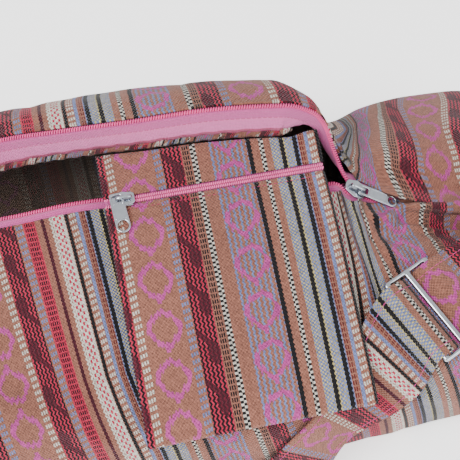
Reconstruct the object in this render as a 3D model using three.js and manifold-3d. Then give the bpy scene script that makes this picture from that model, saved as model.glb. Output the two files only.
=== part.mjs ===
import * as THREE from 'three';
import * as BufferGeometryUtils from 'three/addons/utils/BufferGeometryUtils.js';
import Module from 'manifold-3d';

const wasm = await Module();
wasm.setup();

// A yoga mat bag of woven cloth, lying flattened on a surface with its long zip open and its
// zipped inner pocket pulled out over the front. X runs along the bag, Y away from the front
// and Z up. Lengths are in millimetres, angles in degrees.

// Bag body
const bagLength = 700;
const lieWidth = 230;
const mouthHeight = 165;
const clothWall = 1.8;
const seatGap = 0.3;
const endSwell = 8;
const edgeRoom = 1.8;

// Main zip
const mainCoil = { radius: 1.5, gap: 0.3 };
const mainTape = { width: 17, wall: 1 };
const seamRollRadius = 2.2;
const mainSlider = {
  length: 13.5, width: 11.4, plate: 1.2, throat: 5.2, post: 1.6,
  bridgeWidth: 2.2, bridgeWall: 1.3, bridgeRoom: 2.6,
};
const mainPull = {
  length: 25, width: 7.6, wall: 1.3, loopLength: 4.6, rail: 1.5, ringHole: 5,
};

// Inner pocket
const pocketWidth = 131;
const pocketReach = 134;
const bandReach = 17.5;
const pocketWall = 1.3;
const pocketCoil = { radius: 1.3, gap: 0.4 };
const pocketTape = { width: 9, wall: 0.6 };
const pocketSlider = {
  length: 12.5, width: 9.6, plate: 1, throat: 4.9, post: 1.2,
  bridgeWidth: 1.8, bridgeWall: 1.1, bridgeRoom: 2.2,
};
const pocketPull = {
  length: 23.5, width: 8.6, wall: 1.1, loopLength: 4.2, rail: 1.3, ringHole: 6.4,
};

// Shoulder strap and its adjuster
const strapWidth = 50;
const strapWall = 2;
const glide = { length: 32, bar: 3.5, wall: 3, side: 2.4, corner: 2, play: 0.8 };

// Places along the bag, as shares of its half length
const mouthStart = -0.815;
const mouthEnd = 0.66;
const pocketMiddle = 0.421;
const strapEnd = 0.985;

const halfLength = bagLength / 2;
const halfWidth = lieWidth / 2;

// Cross sections of the lying cloth. x is a share of the half length; every Y is a percentage
// of the half width and every Z of the mouth height. coilU and coilL are the two zip lines;
// from the upper one the cloth runs over crest, shoulder and back to the floor, and on by
// front, chest and middle to the lower one. hang is the turn of the upper tape under the cloth,
// and tape the percentage of its width that isn't gathered up.
const sectionColumns = [
  'x', 'coilUY', 'coilUZ', 'crestY', 'crestZ', 'shoulderY', 'shoulderZ', 'backY', 'backZ',
  'frontY', 'frontZ', 'chestY', 'chestZ', 'middleY', 'middleZ', 'coilLY', 'coilLZ', 'hang', 'tape',
];
const sectionRows = [
  [-1.000, 0, 66.5, 33, 65.5, 68, 56, 92, 34, -92, 34, -70, 54.5, -35, 64.5, 0, 66.5, 8, 100],
  [-0.915, 0, 68.5, 35, 68.5, 71, 59, 97, 36, -97, 35, -75, 57, -37, 66.5, 0, 68.5, 8, 100],
  [mouthStart, 1, 68, 37, 69, 73, 59.5, 98, 37.5, -99, 35, -77, 57, -38, 66.5, 1, 68, 12, 100],
  [-0.630, 29, 74, 49, 76, 75, 65.5, 98, 40, -101, 34, -80, 54.5, -40, 64, 9, 69, 80, 100],
  [-0.340, 47, 79, 61, 81, 82, 69, 99, 42.5, -103, 31.5, -83, 52, -42, 63, 17, 70, 92, 100],
  [-0.060, 54, 85, 68, 86, 87, 71.5, 100, 43.5, -103.5, 30, -84, 51, -43.5, 63, 22.5, 72, 95, 100],
  [0.085, 53, 88, 67, 88.5, 89, 74, 100, 45, -103.5, 29, -85, 51, -43.5, 64, 23.5, 72.5, 95, 100],
  [0.170, 48, 92, 63, 92.5, 84, 79.5, 98, 46, -103.5, 29, -85, 51, -43.5, 65, 23.5, 74, 95, 100],
  [0.300, 41, 97, 56.5, 97, 79, 83.5, 95.5, 47.5, -103.5, 29, -85, 51.5, -43.5, 65, 21, 74.5, 95, 100],
  [0.435, 38, 99, 54, 98, 73, 86, 92, 48.5, -103.5, 29, -84, 50.5, -43.5, 64.5, 17.5, 74, 95, 100],
  [0.555, 34, 98, 49, 97, 67, 86, 87, 48.5, -102, 29, -83.5, 50, -45, 63.5, 13, 72.5, 95, 100],
  [0.605, 32, 92.5, 45, 91.5, 57.5, 82, 82, 47, -100.5, 29, -83, 51.5, -47, 63.3, 10.5, 72, 90, 70],
  [0.624, 29, 86, 42, 86, 54, 77.5, 80, 45.5, -100, 29, -83.5, 52, -48, 63, 10.5, 71.5, 80, 45],
  [0.637, 21, 76, 37, 81, 51, 74, 78, 44.5, -100, 29.5, -83.5, 52.5, -49, 62.8, 9.5, 70, 62, 40],
  [0.647, 12.5, 69.5, 31, 77.5, 49, 70.5, 76, 43.5, -100, 30, -84, 53, -49.5, 62.6, 6, 68, 40, 40],
  [mouthEnd, 7, 66.5, 27, 74.5, 48.5, 68, 75, 42.5, -100, 30, -84, 53.5, -50, 62.6, 7, 66.5, 18, 55],
  [0.690, 3.5, 63, 23, 73, 50, 65.5, 77, 41, -99, 30, -86, 55, -52, 62.5, 3.5, 63, 14, 80],
  [0.750, -1, 60.5, 17.5, 72, 54, 62, 85, 40, -99, 30, -87, 56, -52, 63, -1, 60.5, 16, 100],
  [0.825, -8, 59.5, 12, 72, 57.5, 63, 89, 37.5, -98, 31.5, -86, 56, -54, 63, -8, 59.5, 18, 100],
  [0.910, -10.5, 59.5, 15.5, 70, 55.5, 62, 90.5, 36.5, -95.5, 33, -80, 56, -49, 64, -10.5, 59.5, 18, 100],
  [1.000, -9, 63, 26, 66.5, 62.5, 57, 87, 34, -92, 33, -73, 54.5, -43.5, 64, -9, 63, 16, 100],
];

// How far inside the widest points the cloth leaves the floor, in percent of the half width
const floorTuck = { back: 14, front: 12 };

// Folds and dents pressed into the cloth. Each runs straight from one place to another:
// x as a share of the half length, around as a count of section points from the upper zip
// line (0) to the lower one (9). height is negative for a dent; reach is its half width.
const foldColumns = ['x0', 'around0', 'x1', 'around1', 'height', 'reach'];
const foldRows = [
  [0.665, 8.62, 0.985, 8.66, -4.5, 7],
  [0.660, 8.85, 0.960, 8.88, 3.0, 6],
  [0.700, 8.40, 0.900, 8.15, 2.0, 10],
  [0.690, 7.60, 0.950, 7.30, -3.0, 12],
  [0.720, 6.60, 0.900, 6.50, -4.0, 12],
  [0.668, 0.60, 0.690, 2.60, -5.0, 8],
  [0.760, 1.30, 0.930, 1.60, 2.5, 14],
  [-0.600, 7.30, -0.150, 7.50, -3.0, 16],
  [-0.500, 1.40, -0.100, 1.60, -3.0, 14],
  [-0.300, 2.60, 0.300, 2.75, -4.0, 18],
  [-0.100, 7.90, 0.180, 7.40, -2.0, 12],
];

// Stations for the mesh of the body: every section row, with even steps between them
const stationStep = 26;
const girthSteps = 18;

const rows = (columns, table) => table.map(
  (line) => Object.fromEntries(columns.map((name, index) => [name, line[index]])),
);
const sections = rows(sectionColumns, sectionRows);
const folds = rows(foldColumns, foldRows);

const degrees = Math.PI / 180;
const point = (x, y, z) => new THREE.Vector3(x, y, z);
const lerp = THREE.MathUtils.lerp;
const along = (start, direction, distance) => start.clone().addScaledVector(direction, distance);

// Smooth curve through a table column, with slopes that never overshoot
function columnAt(table, name, x) {
  const count = table.length;
  let row = 0;
  while (row < count - 2 && x > table[row + 1].x) row += 1;
  const span = (index) => table[index + 1].x - table[index].x;
  const rise = (index) => (table[index + 1][name] - table[index][name]) / span(index);
  const slope = (index) => {
    if (index === 0) return rise(0);
    if (index === count - 1) return rise(count - 2);
    const before = rise(index - 1);
    const after = rise(index);
    return before * after <= 0 ? 0 : (2 * before * after) / (before + after);
  };
  const width = span(row);
  const t = THREE.MathUtils.clamp((x - table[row].x) / width, 0, 1);
  const t2 = t * t;
  const t3 = t2 * t;
  return (2 * t3 - 3 * t2 + 1) * table[row][name] + (t3 - 2 * t2 + t) * width * slope(row)
    + (3 * t2 - 2 * t3) * table[row + 1][name] + (t3 - t2) * width * slope(row + 1);
}

// Zip line point at a share of the half length, and its direction along the bag
function zipLine(share, name) {
  const place = (s) => point(
    s * halfLength,
    columnAt(sections, `${name}Y`, s) * halfWidth / 100,
    columnAt(sections, `${name}Z`, s) * mouthHeight / 100,
  );
  const small = 0.002;
  const tangent = place(Math.min(1, share + small)).sub(place(Math.max(-1, share - small)));
  return { here: place(share), tangent: tangent.normalize() };
}

const squareTo = (direction, tangent) => along(direction, tangent, -direction.dot(tangent)).normalize();

// One section at a share of the half length, with its lengths in millimetres
function sectionAt(share) {
  const x = share * halfLength;
  const read = (name) => columnAt(sections, name, share);
  const place = (name) => point(
    x,
    read(`${name}Y`) * halfWidth / 100,
    read(`${name}Z`) * mouthHeight / 100,
  );
  const floorPlace = (name, tuck) => point(x, (read(`${name}Y`) + tuck) * halfWidth / 100, 0);
  const setback = mainSlider.width / 2 + edgeRoom;
  const lift = mainTape.wall / 2 + seatGap + clothWall;
  const zipFrame = (name, neighbour, sign) => {
    const { here, tangent } = zipLine(share, name);
    const direction = squareTo(neighbour.clone().sub(here), tangent);
    const normal = tangent.clone().cross(direction).multiplyScalar(sign);
    const edge = along(along(here, direction, setback), normal, lift);
    return { here, tangent, direction, normal, edge };
  };
  const crest = place('crest');
  const middle = place('middle');
  const upper = zipFrame('coilU', crest, 1);
  const lower = zipFrame('coilL', middle, -1);
  return {
    x,
    upper,
    lower,
    hang: read('hang'),
    tapeShare: read('tape') / 100,
    outline: [
      upper.edge, crest, place('shoulder'), place('back'),
      floorPlace('back', -floorTuck.back), floorPlace('front', floorTuck.front),
      place('front'), place('chest'), middle, lower.edge,
    ],
  };
}

// Point of the outline at a count of section points, on a centripetal curve through them
function outlinePoint(section, around) {
  const points = section.outline;
  const last = points.length - 1;
  const start = Math.min(Math.floor(around), last - 1);
  const pick = (index) => {
    if (index < 0) return points[0].clone().multiplyScalar(2).sub(points[1]);
    if (index > last) return points[last].clone().multiplyScalar(2).sub(points[last - 1]);
    return points[index];
  };
  const knots = [pick(start - 1), pick(start), pick(start + 1), pick(start + 2)];
  const times = [0];
  for (let k = 0; k < 3; k += 1) {
    times.push(times[k] + Math.sqrt(knots[k].distanceTo(knots[k + 1])));
  }
  const time = lerp(times[1], times[2], around - start);
  const between = (a, b, from, to) => a.clone().lerp(b, (time - from) / (to - from));
  const first = [0, 1, 2].map((k) => between(knots[k], knots[k + 1], times[k], times[k + 1]));
  const second = [0, 1].map((k) => between(first[k], first[k + 1], times[k], times[k + 2]));
  const result = between(second[0], second[1], times[1], times[2]);
  result.z = Math.max(0, result.z);
  return result;
}

// Distance that the folds push the cloth outwards at a place. aroundLength is the usual
// length of cloth between two section points; a fold fades in and out over foldEase of its
// length, and foldSharpness sets how steeply its sides fall.
const aroundLength = 62;
const foldEase = 0.08;
const foldSharpness = 1.6;
function foldHeight(share, around) {
  let total = 0;
  for (const fold of folds) {
    const spanX = (fold.x1 - fold.x0) * halfLength;
    const spanG = (fold.around1 - fold.around0) * aroundLength;
    const dx = (share - fold.x0) * halfLength;
    const dg = (around - fold.around0) * aroundLength;
    const t = (dx * spanX + dg * spanG) / (spanX * spanX + spanG * spanG);
    const inside = THREE.MathUtils.clamp(t, 0, 1);
    const distance = Math.hypot(dx - inside * spanX, dg - inside * spanG) / fold.reach;
    const eased = THREE.MathUtils.clamp(foldEase + (1 - 2 * foldEase) * t, 0, 1);
    total += fold.height * Math.exp(-distance * distance * foldSharpness) * Math.sin(Math.PI * eased);
  }
  return total;
}

// Outer surface of the body cloth and its outward normal; folds die out towards the zip
const lastAround = 9;
const edgeEase = 0.3;
function clothPoint(share, around) {
  const small = 0.004;
  const base = (s, g) => outlinePoint(sectionAt(s), THREE.MathUtils.clamp(g, 0, lastAround));
  const here = base(share, around);
  const alongX = base(Math.min(share + small, 1), around).sub(base(Math.max(share - small, -1), around));
  const alongG = base(share, around + 0.05).sub(base(share, around - 0.05));
  const normal = alongX.cross(alongG).normalize();
  const edgeFade = Math.min(1, around / edgeEase, (lastAround - around) / edgeEase);
  here.addScaledVector(normal, foldHeight(share, around) * edgeFade);
  here.z = Math.max(0, here.z);
  if (here.z === 0) normal.set(0, 0, -1);
  return { here, normal };
}

// Turns a grid of outer and inner points into one closed wall
function wallGeometry(outer, inner) {
  const columns = outer.length;
  const lines = outer[0].length;
  const positions = [];
  for (const grid of [outer, inner]) {
    for (const p of grid.flat()) positions.push(p.x, p.y, p.z);
  }
  const id = (side, i, j) => side * columns * lines + i * lines + j;
  const index = [];
  const quad = (a, b, c, d) => index.push(a, b, c, a, c, d);
  for (let i = 0; i < columns - 1; i += 1) {
    for (let j = 0; j < lines - 1; j += 1) {
      quad(id(0, i, j), id(0, i + 1, j), id(0, i + 1, j + 1), id(0, i, j + 1));
      quad(id(1, i, j), id(1, i, j + 1), id(1, i + 1, j + 1), id(1, i + 1, j));
    }
    quad(id(0, i, 0), id(1, i, 0), id(1, i + 1, 0), id(0, i + 1, 0));
    quad(id(0, i, lines - 1), id(0, i + 1, lines - 1), id(1, i + 1, lines - 1), id(1, i, lines - 1));
  }
  for (let j = 0; j < lines - 1; j += 1) {
    quad(id(0, 0, j), id(0, 0, j + 1), id(1, 0, j + 1), id(1, 0, j));
    const end = columns - 1;
    quad(id(0, end, j), id(1, end, j), id(1, end, j + 1), id(0, end, j + 1));
  }
  return closedGeometry(positions, index);
}

// Lofts closed rings of points, each with the same count, and caps both ends
function loftGeometry(rings) {
  const sides = rings[0].length;
  const positions = [];
  for (const p of rings.flat()) positions.push(p.x, p.y, p.z);
  const index = [];
  for (let r = 0; r < rings.length - 1; r += 1) {
    for (let k = 0; k < sides; k += 1) {
      const next = (k + 1) % sides;
      const a = r * sides + k;
      const b = r * sides + next;
      index.push(a, b, b + sides, a, b + sides, a + sides);
    }
  }
  const last = (rings.length - 1) * sides;
  for (let k = 1; k < sides - 1; k += 1) {
    index.push(0, k + 1, k);
    index.push(last, last + k, last + k + 1);
  }
  return closedGeometry(positions, index);
}

function closedGeometry(positions, index) {
  let volume = 0;
  const corner = (i) => point(positions[3 * i], positions[3 * i + 1], positions[3 * i + 2]);
  for (let t = 0; t < index.length; t += 3) {
    volume += corner(index[t]).dot(corner(index[t + 1]).cross(corner(index[t + 2])));
  }
  if (volume < 0) {
    for (let t = 0; t < index.length; t += 3) {
      [index[t + 1], index[t + 2]] = [index[t + 2], index[t + 1]];
    }
  }
  const geometry = new THREE.BufferGeometry();
  geometry.setAttribute('position', new THREE.Float32BufferAttribute(positions, 3));
  geometry.setIndex(index);
  geometry.computeVertexNormals();
  return geometry;
}

// Flat band along rows of { centre, across, normal, width }, with the centre on its underside
function bandGeometry(path, wall) {
  return loftGeometry(path.map(({ centre, across, normal, width }) => {
    const left = along(centre, across, -width / 2);
    const right = along(centre, across, width / 2);
    return [left, right, along(right, normal, wall), along(left, normal, wall)];
  }));
}

// Round cord along points, with its sides turned around the path
function cordGeometry(points, radius, sides) {
  return loftGeometry(points.map((p, i) => {
    const before = points[Math.max(i - 1, 0)];
    const after = points[Math.min(i + 1, points.length - 1)];
    const tangent = after.clone().sub(before).normalize();
    const side = tangent.clone().cross(point(0, 0, 1)).normalize();
    const up = side.clone().cross(tangent);
    return Array.from({ length: sides }, (_, k) => {
      const angle = 2 * Math.PI * k / sides;
      return p.clone().addScaledVector(side, radius * Math.cos(angle))
        .addScaledVector(up, radius * Math.sin(angle));
    });
  }));
}

// Joins or cuts closed geometries
function toSolid(geometry) {
  const bare = geometry.clone();
  bare.deleteAttribute('normal');
  bare.deleteAttribute('uv');
  const merged = BufferGeometryUtils.mergeVertices(bare, 1e-4);
  return new wasm.Manifold(new wasm.Mesh({
    numProp: 3,
    vertProperties: new Float32Array(merged.attributes.position.array),
    triVerts: new Uint32Array(merged.index.array),
  }));
}

function fromSolid(solid) {
  const { vertProperties, triVerts } = solid.getMesh();
  const geometry = new THREE.BufferGeometry();
  geometry.setAttribute('position', new THREE.Float32BufferAttribute(vertProperties, 3));
  geometry.setIndex(Array.from(triVerts));
  geometry.computeVertexNormals();
  return geometry;
}

const fuse = (geometries) => fromSolid(
  geometries.map(toSolid).reduce((sum, next) => sum.add(next)),
);
const cut = (geometry, tools) => fromSolid(
  tools.map(toSolid).reduce((rest, tool) => rest.subtract(tool), toSolid(geometry)),
);
const box = (length, width, height, x, y, z) => new THREE.BoxGeometry(length, width, height)
  .translate(x, y, z);

// Rotation and place from a frame of three directions
function placedBy(geometry, frame) {
  const matrix = new THREE.Matrix4().makeBasis(frame.x, frame.y, frame.z);
  return geometry.applyMatrix4(matrix.setPosition(frame.origin));
}

function frameFrom(origin, xDirection, upward) {
  const x = xDirection.clone().normalize();
  const y = upward.clone().cross(x).normalize();
  return { origin, x, y, z: x.clone().cross(y) };
}

// Body cloth: two panels that meet under the bag
const stationShares = [];
for (let row = 0; row < sections.length - 1; row += 1) {
  const from = sections[row].x;
  const to = sections[row + 1].x;
  const steps = Math.max(1, Math.round((to - from) * halfLength / stationStep));
  for (let step = 0; step < steps; step += 1) stationShares.push(lerp(from, to, step / steps));
}
stationShares.push(1);

function panelGeometry(aroundFrom, aroundTo) {
  const outer = [];
  const inner = [];
  for (const share of stationShares) {
    const outerColumn = [];
    const innerColumn = [];
    for (let step = 0; step <= girthSteps; step += 1) {
      const around = lerp(aroundFrom, aroundTo, step / girthSteps);
      const { here, normal } = clothPoint(share, around);
      outerColumn.push(here);
      innerColumn.push(along(here, normal, -clothWall));
    }
    outer.push(outerColumn);
    inner.push(innerColumn);
  }
  return wallGeometry(outer, inner);
}

const bottomSeam = 4.5;
const seamShare = seatGap / aroundLength;

// Round end cloth, swelling a little past the seam
function endGeometry(side) {
  const ringShares = [1, 0.8, 0.5, 0.2];
  const around = 32;
  const outline = Array.from({ length: around }, (_, k) => clothPoint(side, lastAround * k / around).here);
  const middle = outline.reduce((sum, p) => sum.add(p), point(0, 0, 0)).divideScalar(around);
  const layer = (offset) => ringShares.map((ring) => outline.map((p) => {
    const swell = seatGap + offset + endSwell * (1 - ring * ring);
    return point(side * (halfLength + swell), lerp(middle.y, p.y, ring), lerp(middle.z, p.z, ring));
  }));
  const outer = layer(clothWall);
  const inner = layer(0);
  const positions = [];
  const index = [];
  const base = { outer: 0, inner: ringShares.length * around };
  for (const p of [...outer, ...inner].flat()) positions.push(p.x, p.y, p.z);
  const tip = positions.length / 3;
  const tipSwell = seatGap + endSwell;
  positions.push(side * (halfLength + tipSwell + clothWall), middle.y, middle.z);
  positions.push(side * (halfLength + tipSwell), middle.y, middle.z);
  const quad = (a, b, c, d) => index.push(a, b, c, a, c, d);
  for (let k = 0; k < around; k += 1) {
    const next = (k + 1) % around;
    for (let r = 0; r < ringShares.length - 1; r += 1) {
      const a = base.outer + r * around;
      const b = base.inner + r * around;
      quad(a + k, a + next, a + around + next, a + around + k);
      quad(b + k, b + around + k, b + around + next, b + next);
    }
    const lastRing = (ringShares.length - 1) * around;
    index.push(base.outer + lastRing + k, base.outer + lastRing + next, tip);
    index.push(base.inner + lastRing + next, base.inner + lastRing + k, tip + 1);
    quad(k, base.inner + k, base.inner + next, next);
  }
  return closedGeometry(positions, index);
}

// Main zip: tape and coil follow the two zip lines, which part between the mouth's ends.
// lowerHang is the turn of the lower tape under the cloth, in degrees.
const lowerHang = 16;
const zipInset = 4;
const zipShares = stationShares.filter((share) => Math.abs(share) < 1 - zipInset / halfLength);
zipShares.unshift(-1 + zipInset / halfLength);
zipShares.push(1 - zipInset / halfLength);

function zipSide(share, side) {
  const section = sectionAt(share);
  const { here, tangent, direction, normal } = section[side];
  const turn = (side === 'upper' ? -section.hang : lowerHang) * degrees;
  const tapeDirection = direction.clone().applyAxisAngle(tangent, turn);
  const tapeNormal = normal.clone().applyAxisAngle(tangent, turn);
  const coil = along(here, direction, mainCoil.radius + mainCoil.gap / 2);
  const tapeStart = along(coil, tapeDirection, mainCoil.radius + seatGap);
  const width = mainTape.width * (side === 'upper' ? section.tapeShare : 1);
  return { coil, tapeStart, tapeDirection, tapeNormal, width };
}

const zipCoilGeometry = (side) => cordGeometry(
  zipShares.map((share) => zipSide(share, side).coil),
  mainCoil.radius,
  6,
);

const zipTapeGeometry = (side) => loftGeometry(zipShares.map((share) => {
  const { tapeStart, tapeDirection, tapeNormal, width } = zipSide(share, side);
  const under = along(tapeStart, tapeNormal, -mainTape.wall / 2);
  const far = along(under, tapeDirection, width);
  return [under, far, along(far, tapeNormal, mainTape.wall), along(under, tapeNormal, mainTape.wall)];
}));

// The rolled seam allowance hangs at the lower edge of the upper tape
const rollStart = -0.77;
const rollEnd = 0.595;
const seamRollGeometry = () => cordGeometry(
  zipShares.filter((share) => share > rollStart && share < rollEnd).map((share) => {
    const { tapeStart, tapeDirection, width } = zipSide(share, 'upper');
    return along(tapeStart, tapeDirection, width + seatGap + seamRollRadius);
  }),
  seamRollRadius,
  8,
);

// Slider: two plates joined by a post, and a bridge on top that holds the pull. Its own
// frame has X towards the closed zip, Z outwards and the coil's middle at the origin.
// post and bridge are shares of its length, leg is a share of the bridge's wall.
const sliderShares = { post: 0.22, bridge: 0.8, leg: 1.4 };
const bridgeLegX = (size) => size.length * sliderShares.bridge / 2 - size.bridgeWall * sliderShares.leg / 2;

function sliderGeometry(size) {
  const plateZ = size.throat / 2 + size.plate / 2;
  const sink = 0.2;
  const postLength = size.length * sliderShares.post;
  const legLength = size.bridgeWall * sliderShares.leg;
  const bridgeLength = size.length * sliderShares.bridge;
  const topZ = size.throat / 2 + size.plate;
  const legZ = topZ + size.bridgeRoom / 2;
  const legX = bridgeLegX(size);
  return fuse([
    box(size.length, size.width, size.plate, 0, 0, plateZ),
    box(size.length, size.width, size.plate, 0, 0, -plateZ),
    box(postLength, size.post, size.throat + 2 * sink, -size.length / 2 + postLength / 2, 0, 0),
    box(legLength, size.bridgeWidth, size.bridgeRoom + 2 * sink, -legX, 0, legZ),
    box(legLength, size.bridgeWidth, size.bridgeRoom + 2 * sink, legX, 0, legZ),
    box(bridgeLength, size.bridgeWidth, size.bridgeWall, 0, 0, topZ + size.bridgeRoom + size.bridgeWall / 2),
  ]);
}

// Pull: a tapered plate with a loop at its head and a round hole at its foot. Its own frame
// has the loop's bar on the Y axis at the origin and the plate along X. The neck is narrower
// than the foot by pullTaper on each side.
const pullTaper = 0.3;
function pullGeometry(size) {
  const headX = -size.rail / 2;
  const footX = size.length - size.width / 2;
  const shape = new THREE.Shape();
  const neck = size.width / 2 - pullTaper;
  shape.moveTo(headX, -neck);
  shape.lineTo(footX, -size.width / 2);
  shape.absarc(footX, 0, size.width / 2, -Math.PI / 2, Math.PI / 2, false);
  shape.lineTo(headX, neck);
  shape.closePath();
  const loop = new THREE.Path();
  const loopSide = neck - size.rail;
  loop.moveTo(size.rail / 2, -loopSide);
  loop.lineTo(size.rail / 2 + size.loopLength, -loopSide);
  loop.lineTo(size.rail / 2 + size.loopLength, loopSide);
  loop.lineTo(size.rail / 2, loopSide);
  loop.closePath();
  const ring = new THREE.Path();
  ring.absarc(footX, 0, size.ringHole / 2, 0, 2 * Math.PI, false);
  shape.holes.push(loop, ring);
  return new THREE.ExtrudeGeometry(shape, { depth: size.wall, bevelEnabled: false, curveSegments: 8 })
    .translate(0, 0, -size.wall / 2);
}

// Pocket: rows down its middle from the band's top edge to the hem. reach is the share of
// the reach below the zip, negative on the band; height is a percentage of the mouth height.
const pocketRows = rows(['x', 'height'], [
  [-1, 84.5],
  [0, 79.5],
  [0.1, 78.2],
  [0.28, 74.6],
  [0.52, 68.4],
  [0.76, 61.8],
  [0.92, 56.4],
  [1, 52.8],
]);
const pocketZipY = 0.125 * halfWidth;
const pocketX = pocketMiddle * halfLength;

function pocketPoint(reach) {
  const run = reach < 0 ? reach * bandReach : reach * pocketReach;
  return point(0, pocketZipY - run, columnAt(pocketRows, 'height', reach) * mouthHeight / 100);
}

// Point at a distance from the coil's middle line, measured across the pocket's slope
function pocketFrameAt(reach) {
  const small = 0.01;
  const limited = (value) => THREE.MathUtils.clamp(value, -1, 1);
  const down = pocketPoint(limited(reach + small)).sub(pocketPoint(limited(reach - small))).normalize();
  return { here: pocketPoint(reach), down, out: point(0, down.z, -down.y) };
}

const layerX = (side) => pocketX + side * pocketWidth / 2;
const pocketLift = pocketTape.wall / 2 + seatGap / 2;
const pocketDepth = pocketSlider.throat / 2 + pocketSlider.plate + 2 * seatGap;

// One cloth layer of the pocket between two places down its slope. bottom gives the height
// of its underside over the pocket's middle surface.
function pocketLayerGeometry(reaches, bottom, inset) {
  const acrossSteps = 8;
  const outer = [];
  const inner = [];
  for (let step = 0; step <= acrossSteps; step += 1) {
    const side = lerp(-1, 1, step / acrossSteps);
    const x = layerX(side) - side * inset;
    const column = reaches.map((reach) => {
      const { here, out } = pocketFrameAt(reach);
      return along(here, out, bottom(reach)).setX(x);
    });
    inner.push(column);
    outer.push(column.map((p, k) => along(p, pocketFrameAt(reaches[k]).out, pocketWall)));
  }
  return wallGeometry(outer, inner);
}

const pocketSetback = 2 * pocketCoil.radius + pocketSlider.post / 2 + 2 * seatGap;
const span = (from, to, steps) => Array.from({ length: steps + 1 }, (_, k) => lerp(from, to, k / steps));
const bandReaches = span(-1, -pocketSetback / bandReach, 2);
const frontReaches = span(pocketSetback / pocketReach, 1, 12);
const backReaches = span(pocketTape.width / pocketReach * 1.4, 1, 12);
const frontBottom = () => pocketLift;
const backBottom = (reach) => lerp(-pocketDepth, -seatGap, Math.min(1, reach * 2.2)) - pocketWall;

const pocketZipPoint = (x, across) => {
  const { here, down } = pocketFrameAt(0);
  return along(here, down, across).setX(x);
};
const pocketSliderX = pocketX - pocketWidth / 2 + pocketSlider.length * 0.95;

function pocketCoilGeometry(side) {
  const { out } = pocketFrameAt(0);
  const aside = pocketCoil.radius + pocketCoil.gap / 2;
  const parted = pocketCoil.radius + pocketSlider.post / 2 + seatGap;
  const postEnd = pocketSliderX - pocketSlider.length * 0.25;
  const inset = 1;
  const xs = [layerX(-1) + inset, postEnd, postEnd + 4, pocketSliderX + 12, layerX(1) - inset];
  const points = xs.map((x, k) => along(
    pocketZipPoint(x, side * (k < 2 ? parted : aside)),
    out,
    pocketLift + pocketCoil.radius,
  ));
  return cordGeometry(points, pocketCoil.radius, 6);
}

function pocketTapeGeometry(side) {
  const { down, out } = pocketFrameAt(0);
  const start = pocketSlider.post / 2 + seatGap;
  const centreOffset = start + pocketTape.width / 2;
  return bandGeometry(
    [layerX(-1) + 2, layerX(1) - 2].map((x) => ({
      centre: along(pocketZipPoint(x, side * centreOffset), out, -pocketTape.wall / 2 - seatGap / 2),
      across: down,
      normal: out,
      width: pocketTape.width,
    })),
    pocketTape.wall,
  );
}

const pocketSliderFrame = () => {
  const { out } = pocketFrameAt(0);
  const origin = along(pocketZipPoint(pocketSliderX, 0), out, pocketLift + pocketCoil.radius * 0.75);
  return frameFrom(origin, point(1, 0, 0), out);
};

// The pull hangs down the pocket from the bridge's left leg, and swings about that leg
const pocketPullLean = 4;
const pocketPullDip = 5;
const pocketPullFrame = () => {
  const slider = pocketSliderFrame();
  const level = pocketSlider.throat / 2 + pocketSlider.plate + pocketSlider.bridgeRoom / 2;
  const leg = along(along(slider.origin, slider.x, -bridgeLegX(pocketSlider)), slider.z, level);
  const axis = slider.z.clone().applyAxisAngle(slider.x, pocketPullDip * degrees);
  const down = slider.y.clone().negate().applyAxisAngle(slider.x, pocketPullDip * degrees)
    .applyAxisAngle(axis, pocketPullLean * degrees);
  const hold = pocketPull.rail / 2 + pocketPull.loopLength / 2;
  return { ...frameFrom(along(leg, down, -hold), down, axis), leg, axis };
};

// Main slider, at the mouth's right end
const mainSliderFrame = () => {
  const middleLine = (share) => zipLine(share, 'coilU').here
    .add(zipLine(share, 'coilL').here).multiplyScalar(0.5);
  const here = middleLine(mouthEnd);
  const ahead = middleLine(mouthEnd + 0.02);
  const { upper, lower } = sectionAt(mouthEnd);
  return frameFrom(here, ahead.sub(here), upper.normal.clone().add(lower.normal));
};

// Its pull lies along the closed zip and turns about the loop's bar under the bridge
const mainPullDip = -9;
const mainPullFrame = () => {
  const slider = mainSliderFrame();
  const level = mainSlider.throat / 2 + mainSlider.plate + mainPull.wall / 2 + seatGap;
  const barX = mainSlider.length * 0.12;
  const origin = along(along(slider.origin, slider.x, barX), slider.z, level + seatGap);
  const forward = slider.x.clone().applyAxisAngle(slider.y, mainPullDip * degrees);
  return frameFrom(origin, forward, slider.z);
};

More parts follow.
